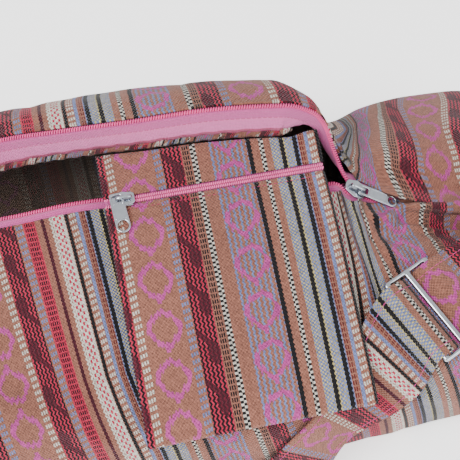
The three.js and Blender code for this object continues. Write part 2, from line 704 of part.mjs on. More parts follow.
// Strap: rows of its centre line from the right end to the left. x is a share of the half
// length, y and z are percentages of the half width and the mouth height, heading is the
// turn of its width from the X axis, bank the slope of its width and flat the percentage of its
// width that isn't folded under.
const glideCentre = { x: 0.733, y: -67.5, z: 64.2 };
const glideHeading = 24.5;
const glideBank = -9;
const strapColumns = ['share', 'y', 'z', 'heading', 'bank', 'flat'];
const strapHead = rows(strapColumns, [
  [strapEnd, -33, 66.6, -72, -4, 100],
  [0.925, -42, 66.6, -70, -6, 100],
  [0.860, -51, 66.0, -68, -7, 100],
]);
const strapFoot = rows(strapColumns, [
  [0.655, -81, 54, -50, -24, 100],
  [0.600, -92.5, 44.5, -36, -36, 88],
  [0.537, -102, 35, -15, -40, 66],
  [0.500, -106.5, 26, -12, -30, 70],
  [0.462, -111, 14, -18, -18, 78],
  [0.425, -117, 5, -34, -7, 88],
  [0.375, -124, 1.2, -54, -1, 96],
  [0.300, -129.5, 0.2, -72, 0, 100],
  [0.100, -133.5, 0.2, -89, 0, 100],
  [-0.150, -133, 0.2, -91, 0, 100],
  [-0.400, -131.5, 0.2, -92, 0, 100],
  [-0.580, -129.5, 0.6, -98, 0, 100],
  [-0.680, -126.5, 5, -104, -4, 100],
  [-0.750, -119, 16, -112, -14, 96],
  [-0.800, -112.5, 31, -122, -26, 90],
  [-0.845, -102, 47, -126, -30, 88],
  [-0.885, -88.5, 59, -124, -22, 92],
  [-0.925, -70, 66.6, -118, -9, 100],
  [-strapEnd, -47, 69.0, -108, -3, 100],
]);

function strapRow({ share, y, z, heading, bank, flat }) {
  const turn = heading * degrees;
  const slope = bank * degrees;
  return {
    centre: point(share * halfLength, y * halfWidth / 100, z * mouthHeight / 100),
    across: point(Math.cos(turn) * Math.cos(slope), Math.sin(turn) * Math.cos(slope), Math.sin(slope)),
    width: strapWidth * flat / 100,
  };
}

const glideFrame = () => {
  const rail = point(Math.cos(glideHeading * degrees), Math.sin(glideHeading * degrees), 0.02).normalize();
  const turn = (glideHeading - 90) * degrees;
  const slope = glideBank * degrees;
  const bar = point(Math.cos(turn) * Math.cos(slope), Math.sin(turn) * Math.cos(slope), Math.sin(slope));
  const origin = point(
    glideCentre.x * halfLength,
    glideCentre.y * halfWidth / 100,
    glideCentre.z * mouthHeight / 100,
  );
  const z = rail.clone().cross(bar).negate().normalize();
  return { origin, x: rail, y: z.clone().cross(rail), z };
};

// Within the adjuster the strap goes over both end bars and under the centre bar
function strapInGlide() {
  const frame = glideFrame();
  const over = glide.wall / 2 + seatGap * 2;
  const under = -glide.wall / 2 - seatGap * 2 - strapWall;
  const endBar = glide.length / 2 - glide.bar / 2;
  const places = [
    [endBar + 9, over * 0.3], [endBar + 4, over], [endBar, over * 1.08], [endBar - 4, over * 0.7],
    [endBar / 2, (over + under) / 2], [3.2, under], [0, under], [-3.2, under],
    [-endBar / 2, (over + under) / 2], [4 - endBar, over * 0.7], [-endBar, over * 1.08],
    [-endBar - 4, over],
  ];
  return places.map(([run, height]) => ({
    centre: along(along(frame.origin, frame.x, run), frame.z, height),
    across: frame.y.clone().negate(),
    width: strapWidth,
  }));
}

// Distance from a place to the body's outline in the same section, negative inside it
const sharesPerUnit = 500;
const outlineCache = new Map();
function outlineLoop(share) {
  const key = Math.round(share * sharesPerUnit);
  if (!outlineCache.has(key)) {
    const samples = 72;
    outlineCache.set(key, Array.from(
      { length: samples + 1 },
      (_, k) => clothPoint(key / sharesPerUnit, lastAround * k / samples).here,
    ));
  }
  return outlineCache.get(key);
}

function clearOfBody(place) {
  const share = THREE.MathUtils.clamp(place.x / halfLength, -1, 1);
  const loop = outlineLoop(share);
  let inside = false;
  let nearest = Infinity;
  for (let k = 0; k < loop.length; k += 1) {
    const a = loop[k];
    const b = loop[(k + 1) % loop.length];
    const [ay, az, by, bz] = [a.y, a.z, b.y, b.z];
    if ((az > place.z) !== (bz > place.z)
      && place.y < ay + (by - ay) * (place.z - az) / (bz - az)) inside = !inside;
    const length = (by - ay) ** 2 + (bz - az) ** 2;
    const t = length === 0 ? 0 : ((place.y - ay) * (by - ay) + (place.z - az) * (bz - az)) / length;
    const u = THREE.MathUtils.clamp(t, 0, 1);
    nearest = Math.min(nearest, Math.hypot(place.y - ay - u * (by - ay), place.z - az - u * (bz - az)));
  }
  return inside ? -nearest : nearest;
}

// Moves a row of the strap out along its face until its underside clears the body
const strapRest = 1.8;
function seatRow(row) {
  const { centre, across, normal, width } = row;
  for (let round = 0; round < 4; round += 1) {
    let short = 0;
    for (const side of [-0.5, -0.33, -0.17, 0, 0.17, 0.33, 0.5]) {
      const place = along(centre, across, side * width);
      short = Math.max(short, strapRest - clearOfBody(place));
    }
    if (short > 0) centre.addScaledVector(normal, short);
  }
  return row;
}

// Normals follow the path; extra rows are put in between on a smooth curve
function strapPath() {
  const rowsDown = [...strapHead.map(strapRow), ...strapInGlide(), ...strapFoot.map(strapRow)];
  const curve = new THREE.CatmullRomCurve3(rowsDown.map((row) => row.centre), false, 'centripetal');
  const count = rowsDown.length - 1;
  const path = [];
  for (let k = 0; k <= count; k += 1) {
    const gap = k < count ? rowsDown[k].centre.distanceTo(rowsDown[k + 1].centre) : 0;
    const steps = THREE.MathUtils.clamp(Math.ceil(gap / 9), 1, 3);
    const inGlide = k >= strapHead.length && rowsDown[k].centre.distanceTo(glideFrame().origin) < 24;
    for (let step = 0; step < steps; step += 1) {
      const t = Math.min((k + step / steps) / count, 1);
      const next = rowsDown[Math.min(k + 1, count)];
      const across = rowsDown[k].across.clone().lerp(next.across, step / steps).normalize();
      const normal = across.clone().cross(curve.getTangent(t)).normalize();
      if (normal.z < 0) normal.negate();
      const width = lerp(rowsDown[k].width, next.width, step / steps);
      const row = { centre: curve.getPoint(t), across, normal, width };
      path.push(inGlide ? row : seatRow(row));
    }
  }
  return path;
}

function glideGeometry() {
  const inner = strapWidth + 2 * glide.play;
  const halfX = glide.length / 2;
  const halfY = inner / 2 + glide.side;
  const c = glide.corner;
  const outline = new THREE.Shape();
  outline.absarc(halfX - c, -halfY + c, c, -Math.PI / 2, 0, false);
  outline.absarc(halfX - c, halfY - c, c, 0, Math.PI / 2, false);
  outline.absarc(-halfX + c, halfY - c, c, Math.PI / 2, Math.PI, false);
  outline.absarc(-halfX + c, -halfY + c, c, Math.PI, 1.5 * Math.PI, false);
  const plate = new THREE.ExtrudeGeometry(outline, {
    depth: glide.wall, bevelEnabled: false, curveSegments: 3,
  }).translate(0, 0, -glide.wall / 2);
  const slotLength = halfX - 1.5 * glide.bar;
  const slotX = halfX - glide.bar - slotLength / 2;
  return cut(plate, [-1, 1].map((side) => box(slotLength, inner, 2 * glide.wall, side * slotX, 0, 0)));
}

// Colours
const tanCloth = { color: 0xb98c74, roughness: 0.95, metalness: 0 };
const pinkTape = { color: 0xdd7fb4, roughness: 0.9, metalness: 0 };
const pinkCoil = { color: 0xe0649f, roughness: 0.5, metalness: 0 };
const brightMetal = { color: 0xd5d7da, roughness: 0.25, metalness: 1 };

const bag = new THREE.Group();

function add(name, geometry, finish) {
  const mesh = new THREE.Mesh(geometry, new THREE.MeshStandardMaterial(finish));
  mesh.name = name;
  bag.add(mesh);
}

add('body_back_panel', panelGeometry(0, bottomSeam - seamShare / 2), tanCloth);
add('body_front_panel', panelGeometry(bottomSeam + seamShare / 2, lastAround), tanCloth);
add('end_left', endGeometry(-1), tanCloth);
add('end_right', endGeometry(1), tanCloth);
for (const side of ['upper', 'lower']) {
  add(`zip_tape_${side}`, zipTapeGeometry(side), pinkTape);
  add(`zip_coil_${side}`, zipCoilGeometry(side), pinkCoil);
}
add('mouth_seam_roll', seamRollGeometry(), tanCloth);
add('zip_slider', placedBy(sliderGeometry(mainSlider), mainSliderFrame()), brightMetal);
add('zip_pull', placedBy(pullGeometry(mainPull), mainPullFrame()), brightMetal);

add('pocket_band', pocketLayerGeometry(bandReaches, frontBottom, 0), tanCloth);
add('pocket_front', pocketLayerGeometry(frontReaches, frontBottom, 0), tanCloth);
add('pocket_back', pocketLayerGeometry(backReaches, backBottom, 0), tanCloth);
add('pocket_tape_upper', pocketTapeGeometry(-1), pinkTape);
add('pocket_tape_lower', pocketTapeGeometry(1), pinkTape);
add('pocket_coil_upper', pocketCoilGeometry(-1), pinkCoil);
add('pocket_coil_lower', pocketCoilGeometry(1), pinkCoil);
add('pocket_slider', placedBy(sliderGeometry(pocketSlider), pocketSliderFrame()), brightMetal);
add('pocket_pull', placedBy(pullGeometry(pocketPull), pocketPullFrame()), brightMetal);

add('strap', bandGeometry(strapPath(), strapWall), tanCloth);
add('tri_glide', placedBy(glideGeometry(), glideFrame()), brightMetal);

// The origin is on the floor under the middle of the whole bag
const reachBox = new THREE.Box3().setFromObject(bag);
const centre = reachBox.getCenter(new THREE.Vector3());
bag.position.set(-centre.x, -centre.y, -reachBox.min.z);

export default bag;
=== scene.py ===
import math
import bpy
import numpy as np
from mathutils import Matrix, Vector, noise


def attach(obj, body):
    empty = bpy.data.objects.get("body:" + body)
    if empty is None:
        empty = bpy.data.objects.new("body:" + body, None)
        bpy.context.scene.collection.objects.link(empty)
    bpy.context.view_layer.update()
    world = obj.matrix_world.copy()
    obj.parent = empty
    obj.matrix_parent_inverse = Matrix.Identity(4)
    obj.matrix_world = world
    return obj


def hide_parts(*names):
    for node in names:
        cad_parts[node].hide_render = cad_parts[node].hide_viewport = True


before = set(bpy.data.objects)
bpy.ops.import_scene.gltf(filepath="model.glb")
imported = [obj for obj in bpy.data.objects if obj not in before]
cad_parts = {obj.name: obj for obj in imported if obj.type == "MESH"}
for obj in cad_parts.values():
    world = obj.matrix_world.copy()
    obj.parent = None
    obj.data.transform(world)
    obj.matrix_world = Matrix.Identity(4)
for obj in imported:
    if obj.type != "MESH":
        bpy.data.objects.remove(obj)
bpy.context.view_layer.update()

# Lengths are in millimetres and angles in degrees until a mesh is made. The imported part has
# its origin under the middle of its box; ROW_ORIGIN takes the tables' places there.
MM = 0.001
ROW_ORIGIN = np.array([0, 31.652, 0.009])

# Bag body
BAG_LENGTH = 700
LIE_WIDTH = 230
MOUTH_HEIGHT = 165
CLOTH_WALL = 1.8
SEAT_GAP = 0.3
END_SWELL = 8
HALF_LENGTH = BAG_LENGTH / 2
HALF_WIDTH = LIE_WIDTH / 2
MOUTH_START, MOUTH_END = -0.815, 0.66

# Main zip
COIL_RADIUS, COIL_GAP = 1.5, 0.3
TAPE_WIDTH, TAPE_WALL = 17, 1
LOWER_HANG = 16
SEAM_ROLL_RADIUS = 2.2
ROLL_START, ROLL_END = -0.77, 0.595
MAIN_SLIDER = dict(length=13.5, width=11.4, plate=1.2, throat=5.2, post=1.6,
                   bridge_width=2.2, bridge_wall=1.3, bridge_room=2.6)
MAIN_PULL = dict(length=25, width=7.6, wall=1.3, loop=4.6, rail=1.5, hole=5)

# Inner pocket
POCKET_WIDTH = 131
POCKET_REACH = 134
BAND_REACH = 17.5
POCKET_MIDDLE = 0.421
POCKET_WALL = 1.3
POCKET_COIL_RADIUS = 1.3
POCKET_TAPE_WIDTH, POCKET_TAPE_WALL = 9, 0.6
POCKET_SLIDER = dict(length=12.5, width=9.6, plate=1.0, throat=4.9, post=1.2,
                     bridge_width=1.8, bridge_wall=1.1, bridge_room=2.2)
POCKET_PULL = dict(length=23.5, width=8.6, wall=1.1, loop=4.2, rail=1.3, hole=6.4)

# Strap and adjuster
STRAP_WIDTH = 50
STRAP_WALL = 2
STRAP_END = 0.985
STRAP_REST = 1.8
GLIDE = dict(length=32, bar=3.5, wall=3, side=2.4, corner=2, play=0.8)

# Cross sections of the lying cloth. x is a share of the half length; every Y is a percentage
# of the half width and every Z of the mouth height. hang is the turn of the upper tape under
# the cloth, and tape the percentage of its width that isn't gathered up.
SECTION_COLUMNS = (
    "x coilUY coilUZ crestY crestZ shoulderY shoulderZ backY backZ "
    "frontY frontZ chestY chestZ middleY middleZ coilLY coilLZ hang tape"
).split()
SECTION_ROWS = [
    [-1.000, 0, 66.5, 33, 65.5, 68, 56, 92, 34, -92, 34, -70, 54.5, -35, 64.5, 0, 66.5, 8, 100],
    [-0.915, 0, 68.5, 35, 68.5, 71, 59, 97, 36, -97, 35, -75, 57, -37, 66.5, 0, 68.5, 8, 100],
    [MOUTH_START, 1, 68, 37, 69, 73, 59.5, 98, 37.5, -99, 35, -77, 57, -38, 66.5, 1, 68, 12, 100],
    [-0.630, 29, 74, 49, 76, 75, 65.5, 98, 40, -101, 34, -80, 54.5, -40, 64, 9, 69, 80, 100],
    [-0.340, 47, 79, 61, 81, 82, 69, 99, 42.5, -103, 31.5, -83, 52, -42, 63, 17, 70, 107, 100],
    [-0.060, 54, 85, 68, 86, 87, 71.5, 100, 43.5, -103.5, 30, -84, 51, -43.5, 63, 22.5, 72, 109, 100],
    [0.085, 53, 88, 67, 88.5, 89, 74, 100, 45, -103.5, 29, -85, 51, -43.5, 64, 23.5, 72.5, 104, 100],
    [0.170, 48, 92, 63, 92.5, 84, 79.5, 98, 46, -103.5, 29, -85, 51, -43.5, 65, 23.5, 74, 100, 100],
    [0.300, 41, 97, 56.5, 97, 79, 83.5, 95.5, 47.5, -103.5, 29, -85, 51.5, -43.5, 65, 21, 74.5, 97, 100],
    [0.435, 38, 99, 54, 98, 73, 86, 92, 48.5, -103.5, 29, -84, 50.5, -43.5, 64.5, 17.5, 74, 95, 100],
    [0.555, 34, 98, 49, 97, 67, 86, 87, 48.5, -102, 29, -83.5, 50, -45, 63.5, 13, 72.5, 95, 100],
    [0.605, 32, 92.5, 45, 91.5, 57.5, 82, 82, 47, -100.5, 29, -83, 51.5, -47, 63.3, 10.5, 72, 84, 62],
    [0.624, 29, 86, 42, 86, 54, 77.5, 80, 45.5, -100, 29, -83.5, 52, -48, 63, 10.5, 71.5, 66, 32],
    [0.637, 21, 76, 37, 81, 51, 74, 78, 44.5, -100, 29.5, -83.5, 52.5, -49, 62.8, 9.5, 70, 50, 30],
    [0.647, 12.5, 69.5, 31, 77.5, 49, 70.5, 76, 43.5, -100, 30, -84, 53, -49.5, 62.6, 6, 68, 34, 34],
    [MOUTH_END, 7, 66.5, 27, 74.5, 48.5, 68, 75, 42.5, -100, 30, -84, 53.5, -50, 62.6, 7, 66.5, 18, 55],
    [0.690, 3.5, 63, 23, 73, 50, 65.5, 77, 41, -99, 30, -86, 55, -52, 62.5, 3.5, 63, 14, 80],
    [0.750, -1, 60.5, 17.5, 72, 54, 62, 85, 40, -99, 30, -87, 56, -52, 63, -1, 60.5, 16, 100],
    [0.825, -8, 59.5, 12, 72, 57.5, 63, 89, 37.5, -98, 31.5, -86, 56, -54, 63, -8, 59.5, 18, 100],
    [0.910, -10.5, 59.5, 15.5, 70, 55.5, 62, 90.5, 36.5, -95.5, 33, -80, 56, -49, 64, -10.5, 59.5, 18, 100],
    [1.000, -9, 63, 26, 66.5, 62.5, 57, 87, 34, -92, 33, -73, 54.5, -43.5, 64, -9, 63, 16, 100],
]
FLOOR_TUCK_BACK, FLOOR_TUCK_FRONT = 14, 12
LAST_AROUND = 9
BOTTOM_SEAM = 4.5

# How far the cloth's two edges stay from their zip lines, and how high over them they lie.
# Beyond the slider the lower edge crosses the sunk zip and meets the upper one above it.
EDGE_COLUMNS = ["x", "upper", "lower", "lift"]
EDGE_ROWS = [
    [-1.000, 3.4, 3.4, 3.0],
    [-0.850, 3.4, 3.4, 3.0],
    [-0.600, 3.6, 7.6, 1.6],
    [0.600, 3.6, 7.6, 1.6],
    [0.640, 5.6, 7.6, 2.0],
    [0.672, 7.4, 7.6, 2.6],
    [0.700, 4.4, 3.4, 2.0],
    [0.740, 3.6, -2.6, 1.0],
    [0.900, 3.7, -3.0, 0.8],
    [1.000, 2.0, 0.2, 0.4],
]

# Folds and dents of the cloth, from one place to another: x is a share of the half length and
# around a count of section points from the upper zip line (0) to the lower one (9)
FOLD_ROWS = [
    [0.665, 8.62, 0.985, 8.66, -4.5, 7],
    [0.660, 8.85, 0.960, 8.88, 3.0, 6],
    [0.700, 8.40, 0.900, 8.15, 2.0, 10],
    [0.690, 7.60, 0.950, 7.30, -3.0, 12],
    [0.720, 6.60, 0.900, 6.50, -4.0, 12],
    [0.668, 0.60, 0.690, 2.60, -5.0, 8],
    [0.760, 1.30, 0.930, 1.60, 2.5, 14],
    [-0.600, 7.30, -0.150, 7.50, -3.0, 16],
    [-0.500, 1.40, -0.100, 1.60, -3.0, 14],
    [-0.300, 2.60, 0.300, 2.75, -4.0, 18],
    [-0.100, 7.90, 0.180, 7.40, -2.0, 12],
]
FINE_FOLD_ROWS = [
    [0.728, 8.880, 1.030, 8.875, 9.0, 4.2],
    [0.712, 8.760, 1.000, 8.745, -8.0, 3.4],
    [0.698, 8.82, 0.722, 8.72, 6.0, 5.0],
    [0.690, 0.14, 1.060, 0.16, 8.0, 6.5],
    [0.650, 8.95, 0.700, 8.05, -2.2, 2.6],
    [0.662, 8.95, 0.740, 8.25, -2.0, 2.8],
    [0.640, 8.95, 0.655, 7.90, -1.8, 2.4],
    [0.625, 8.90, 0.625, 8.00, -1.4, 2.6],
    [0.606, 8.90, 0.596, 8.20, -1.0, 3.0],
    [0.668, 8.90, 0.760, 8.55, 1.6, 2.6],
    [0.690, 8.30, 0.800, 8.00, -1.6, 5.0],
    [0.740, 8.05, 0.860, 7.85, 1.6, 6.0],
    [0.640, 0.10, 0.678, 1.00, -1.8, 2.2],
    [0.652, 0.05, 0.690, 0.62, -1.6, 2.0],
    [0.632, 0.20, 0.668, 1.40, 1.3, 2.4],
    [0.618, 0.25, 0.645, 1.60, -1.2, 2.6],
    [0.700, 0.10, 0.760, 0.70, -1.4, 3.6],
    [0.770, 0.10, 0.830, 0.60, -1.0, 4.0],
    [0.720, 0.35, 0.960, 0.42, 1.2, 7.0],
    [-0.020, 7.95, 0.130, 7.00, -1.8, 7.0],
    [0.020, 7.60, 0.220, 6.40, 1.6, 8.0],
    [0.560, 7.00, 0.720, 6.30, -1.6, 7.0],
    [0.600, 6.60, 0.780, 6.05, 1.6, 7.0],
    [-0.400, 8.20, -0.250, 7.10, -1.5, 8.0],
    [-0.750, 8.00, -0.600, 6.80, -1.6, 8.0],
    [0.300, 0.60, 0.420, 2.20, -1.4, 9.0],
    [0.080, 0.60, 0.160, 2.40, -1.4, 9.0],
]
# Where a fold leans over the valley below it, in the same columns
LEAN_ROWS = [
    [0.728, 8.880, 1.030, 8.875, 8.0, 3.8],
    [0.700, 0.150, 1.060, 0.160, 2.0, 5.0],
]
AROUND_LENGTH = 62
FOLD_EASE = 0.08
FOLD_SHARPNESS = 1.6
EDGE_EASE = 0.3
FINE_EASE = 0.08
FINE_EDGE = 0.3


def table(columns, rows):
    return {name: np.array([row[k] for row in rows], float) for k, name in enumerate(columns)}


SECTIONS = table(SECTION_COLUMNS, SECTION_ROWS)
EDGES = table(EDGE_COLUMNS, EDGE_ROWS)


def column_at(rows, name, x):
    """Smooth curve through a table column, with slopes that never overshoot."""
    knots, values = rows["x"], rows[name]
    x = np.asarray(x, float)
    span = np.diff(knots)
    rise = np.diff(values) / span
    slope = np.empty(len(knots))
    slope[0], slope[-1] = rise[0], rise[-1]
    both = rise[:-1] + rise[1:]
    turn = rise[:-1] * rise[1:] <= 0
    slope[1:-1] = np.where(turn, 0, 2 * rise[:-1] * rise[1:] / np.where(turn, 1, both))
    row = np.clip(np.searchsorted(knots, x, side="left") - 1, 0, len(knots) - 2)
    width = span[row]
    t = np.clip((x - knots[row]) / width, 0, 1)
    return (
        (2 * t**3 - 3 * t**2 + 1) * values[row]
        + (t**3 - 2 * t**2 + t) * width * slope[row]
        + (3 * t**2 - 2 * t**3) * values[row + 1]
        + (t**3 - t**2) * width * slope[row + 1]
    )


def unit(v):
    return v / np.linalg.norm(v, axis=-1, keepdims=True)


def turned(v, axis, degrees):
    """Vectors turned about unit axes by angles in degrees."""
    angle = np.radians(degrees)
    c, s = np.cos(angle)[..., None], np.sin(angle)[..., None]
    return v * c + np.cross(axis, v) * s + axis * (axis * v).sum(-1, keepdims=True) * (1 - c)


def section_place(name, shares, tuck=None):
    """Section point in millimetres at each share; with tuck it lies on the floor."""
    y = column_at(SECTIONS, name + "Y", shares)
    z = column_at(SECTIONS, name + "Z", shares) * MOUTH_HEIGHT / 100
    if tuck is not None:
        y, z = y + tuck, np.zeros_like(y)
    return np.stack([shares * HALF_LENGTH, y * HALF_WIDTH / 100, z], -1)


def zip_frame(shares, name, neighbour, sign):
    """Zip line point, its tangent, the direction into the cloth and the outward normal."""
    small = 0.002
    here = section_place(name, shares)
    ahead = section_place(name, np.minimum(1, shares + small))
    behind = section_place(name, np.maximum(-1, shares - small))
    tangent = unit(ahead - behind)
    into = section_place(neighbour, shares) - here
    into = unit(into - (into * tangent).sum(-1, keepdims=True) * tangent)
    return here, tangent, into, np.cross(tangent, into) * sign


def zip_sides(shares):
    return {
        "upper": zip_frame(shares, "coilU", "crest", 1),
        "lower": zip_frame(shares, "coilL", "middle", -1),
    }


def section_outlines(shares):
    """Ten points round the cloth at each share, from the upper zip edge to the lower one."""
    lift = column_at(EDGES, "lift", shares)[:, None]
    edges = {}
    for side, (here, _, into, normal) in zip_sides(shares).items():
        setback = column_at(EDGES, side, shares)[:, None]
        edges[side] = here + setback * into + lift * normal
    return np.stack([
        edges["upper"],
        section_place("crest", shares),
        section_place("shoulder", shares),
        section_place("back", shares),
        section_place("back", shares, -FLOOR_TUCK_BACK),
        section_place("front", shares, FLOOR_TUCK_FRONT),
        section_place("front", shares),
        section_place("chest", shares),
        section_place("middle", shares),
        edges["lower"],
    ], 1)


def around_curve(outlines, around):
    """Centripetal curve through each outline at the given counts of section points."""
    first = 2 * outlines[:, :1] - outlines[:, 1:2]
    last = 2 * outlines[:, -1:] - outlines[:, -2:-1]
    points = np.concatenate([first, outlines, last], 1)
    start = np.clip(np.floor(around).astype(int), 0, LAST_AROUND - 1)
    knots = [points[:, start + k] for k in range(4)]
    times = [np.zeros(knots[0].shape[:2])]
    for k in range(3):
        times.append(times[k] + np.sqrt(np.linalg.norm(knots[k + 1] - knots[k], axis=-1)))
    time = times[1] + (times[2] - times[1]) * (around - start)

    def between(a, b, low, high):
        share = ((time - low) / (high - low))[..., None]
        return a + (b - a) * share

    one = [between(knots[k], knots[k + 1], times[k], times[k + 1]) for k in range(3)]
    two = [between(one[k], one[k + 1], times[k], times[k + 2]) for k in range(2)]
    result = between(two[0], two[1], times[1], times[2])
    result[..., 2] = np.maximum(0, result[..., 2])
    return result


def fold_height(rows, share, around):
    total = np.zeros(share.shape)
    for x0, around0, x1, around1, height, reach in rows:
        span_x, span_g = (x1 - x0) * HALF_LENGTH, (around1 - around0) * AROUND_LENGTH
        dx, dg = (share - x0) * HALF_LENGTH, (around - around0) * AROUND_LENGTH
        t = (dx * span_x + dg * span_g) / (span_x**2 + span_g**2)
        inside = np.clip(t, 0, 1)
        distance = np.hypot(dx - inside * span_x, dg - inside * span_g) / reach
        eased = np.clip(FOLD_EASE + (1 - 2 * FOLD_EASE) * t, 0, 1)
        total += height * np.exp(-distance**2 * FOLD_SHARPNESS) * np.sin(np.pi * eased)
    return total


def grid_normals(points):
    return unit(np.cross(np.gradient(points, axis=0), np.gradient(points, axis=1)))


def waviness(share, around, size, seed):
    """Low unevenness of lying cloth, between -1 and 1, with bumps of about the given size."""
    places = np.stack([share * HALF_LENGTH, around * AROUND_LENGTH], -1).reshape(-1, 2) / size
    heights = [noise.noise(Vector((x, y, seed))) for x, y in places]
    return np.array(heights).reshape(share.shape)


def cloth_grid(shares, around, fine=False):
    """Outer surface of the body cloth and its normals over a grid of shares and around."""
    points = around_curve(section_outlines(shares), around)
    normals = grid_normals(points)
    share, turn = np.meshgrid(shares, around, indexing="ij")
    edge = np.minimum(turn, LAST_AROUND - turn)
    height = fold_height(FOLD_ROWS, share, turn) * np.minimum(1, edge / EDGE_EASE)
    if fine:
        height += fold_height(FINE_FOLD_ROWS, share, turn) * np.clip(edge / FINE_EASE, FINE_EDGE, 1)
    points = points + normals * height[..., None]
    if fine:
        lean = fold_height(LEAN_ROWS, share, turn)[..., None]
        points = points - unit(np.gradient(points, axis=1)) * lean
        leaning = np.clip(lean / 2, 0, 1)
        normals = unit(normals * (1 - leaning) + grid_normals(points) * leaning)
    points[..., 2] = np.maximum(0, points[..., 2])
    normals[points[..., 2] == 0] = (0, 0, -1)
    return points, normals


# Fabric coordinates: u counts millimetres across the woven stripes and v along them. The bag
# is cut with the stripes round it; u is given at places along the bag for a few turns round
# it, because the lying cloth leans, closes up in gathers and turns down beside the slider.
BACK_TURNS = [0, 0.7, 1.4, 2.1, 4.5]
BACK_PLACES = [
    ["x", "u0", "u7", "u14", "u21", "u45"],
    [-1.000, 552, 552, 553, 556, 566],
    [0.168, 136, 136, 136, 138, 146],
    [0.547, 0, 0, 0, 1, 12],
    [0.595, -17, -16, -16, -15, -4],
    [0.608, -25, -21, -21, -20, -9],
    [0.624, -33, -34, -30, -27, -15],
    [0.637, -55, -43, -37, -32, -20],
    [0.645, -77, -50, -43, -35, -23],
    [0.652, -85, -60, -48, -38, -26],
    [0.660, -89, -68, -53, -41, -29],
    [0.672, -95, -81, -60, -45, -33],
    [0.690, -103, -97, -82, -52, -40],
    [0.705, -108, -110, -106, -78, -45],
    [0.733, -115, -120, -117, -107, -57],
    [0.765, -124, -132, -127, -120, -70],
    [0.805, -142, -150, -148, -141, -88],
    [0.846, -163, -168, -167, -154, -107],
    [0.892, -180, -184, -182, -170, -129],
    [1.000, -220, -224, -222, -212, -180],
]
FRONT_TURNS = [4.5, 6.4, 7.5, 9]
FRONT_PLACES = [
    ["x", "u45", "u64", "u75", "u90"],
    [-1.000, 587, 572, 559, 547],
    [0.000, 222, 212, 203, 187],
    [0.168, 160, 147, 135, 126],
    [0.571, 12, -8, -27, -19],
    [0.634, -11, -33, -51, -47],
    [0.657, -20, -43, -62, -75],
    [0.689, -31, -57, -77, -87],
    [0.737, -50, -77, -97, -108],
    [0.763, -60, -88, -109, -117],
    [0.800, -74, -102, -124, -136],
    [1.000, -150, -182, -204, -216],
]


def across_stripes(places, turns, shares, around):
    """u over a grid, smooth along the bag and straight between the turns round it."""
    rows = table(places[0], places[1:])
    columns = np.stack([column_at(rows, name, shares) for name in places[0][1:]], 1)
    return np.stack([np.interp(around, turns, column) for column in columns])


def length_along(points, axis):
    """Running length of a grid of points along one of its axes."""
    steps = np.linalg.norm(np.diff(points, axis=axis), axis=-1)
    start = np.zeros_like(np.take(steps, [0], axis=axis))
    return np.concatenate([start, np.cumsum(steps, axis=axis)], axis=axis)


# Meshes
def add_object(name, data):
    added = bpy.data.objects.new(name, data)
    bpy.context.scene.collection.objects.link(added)
    return added


def make_piece(name, points, faces, coordinates, material, body="bag", slots=None):
    """One object from points in millimetres; coordinates hold u and v at each point."""
    mesh = bpy.data.meshes.new(name)
    places = (np.asarray(points, float).reshape(-1, 3) + ROW_ORIGIN) * MM
    mesh.from_pydata(places.tolist(), [], faces)
    layer = mesh.uv_layers.new(name="Weave")
    loops = np.empty(len(mesh.loops), np.int32)
    mesh.loops.foreach_get("vertex_index", loops)
    layer.data.foreach_set("uv", np.asarray(coordinates, float).reshape(-1, 2)[loops].ravel())
    materials = material if isinstance(material, list) else [material]
    for one in materials:
        mesh.materials.append(one)
    if slots is not None:
        mesh.polygons.foreach_set("material_index", np.asarray(slots, np.int32))
    mesh.shade_smooth()
    mesh.validate()
    piece = add_object(name, mesh)
    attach(piece, body)
    return piece


def grid_faces(columns, lines, start=0, flip=False, closed=False):
    """Quads over a grid of points numbered column by column."""
    faces = []
    for i in range(columns - 1):
        for j in range(lines if closed else lines - 1):
            after = (j + 1) % lines
            quad = [start + i * lines + j, start + (i + 1) * lines + j,
                    start + (i + 1) * lines + after, start + i * lines + after]
            faces.append(quad[::-1] if flip else quad)
    return faces


def rim_faces(columns, lines, start_inner):
    """Quads that join the edges of an outer grid to those of its inner grid."""
    ring = [(i, 0) for i in range(columns)]
    ring += [(columns - 1, j) for j in range(1, lines)]
    ring += [(i, lines - 1) for i in range(columns - 2, -1, -1)]
    ring += [(0, j) for j in range(lines - 2, 0, -1)]
    ids = [i * lines + j for i, j in ring]
    faces = []
    for a, b in zip(ids, ids[1:] + ids[:1]):
        faces.append([b, a, start_inner + a, start_inner + b])
    return faces


def wall_piece(name, outer, inner, coordinates, materials, body="bag"):
    """A closed sheet between two grids; the second material, if any, is for its inner face."""
    columns, lines = outer.shape[:2]
    count = columns * lines
    front = grid_faces(columns, lines)
    back = grid_faces(columns, lines, count, flip=True)
    rims = rim_faces(columns, lines, count)
    slots = [0] * len(front) + [len(materials) - 1] * len(back) + [0] * len(rims)
    points = np.concatenate([outer.reshape(-1, 3), inner.reshape(-1, 3)])
    doubled = np.concatenate([coordinates.reshape(-1, 2)] * 2)
    return make_piece(name, points, front + back + rims, doubled, materials, body, slots)


def path_frames(points):
    """Tangent, side and up along a path that is nowhere upright."""
    tangent = unit(np.gradient(points, axis=0))
    side = unit(np.cross(tangent, np.array([0.0, 0.0, 1.0])))
    return tangent, side, np.cross(side, tangent)


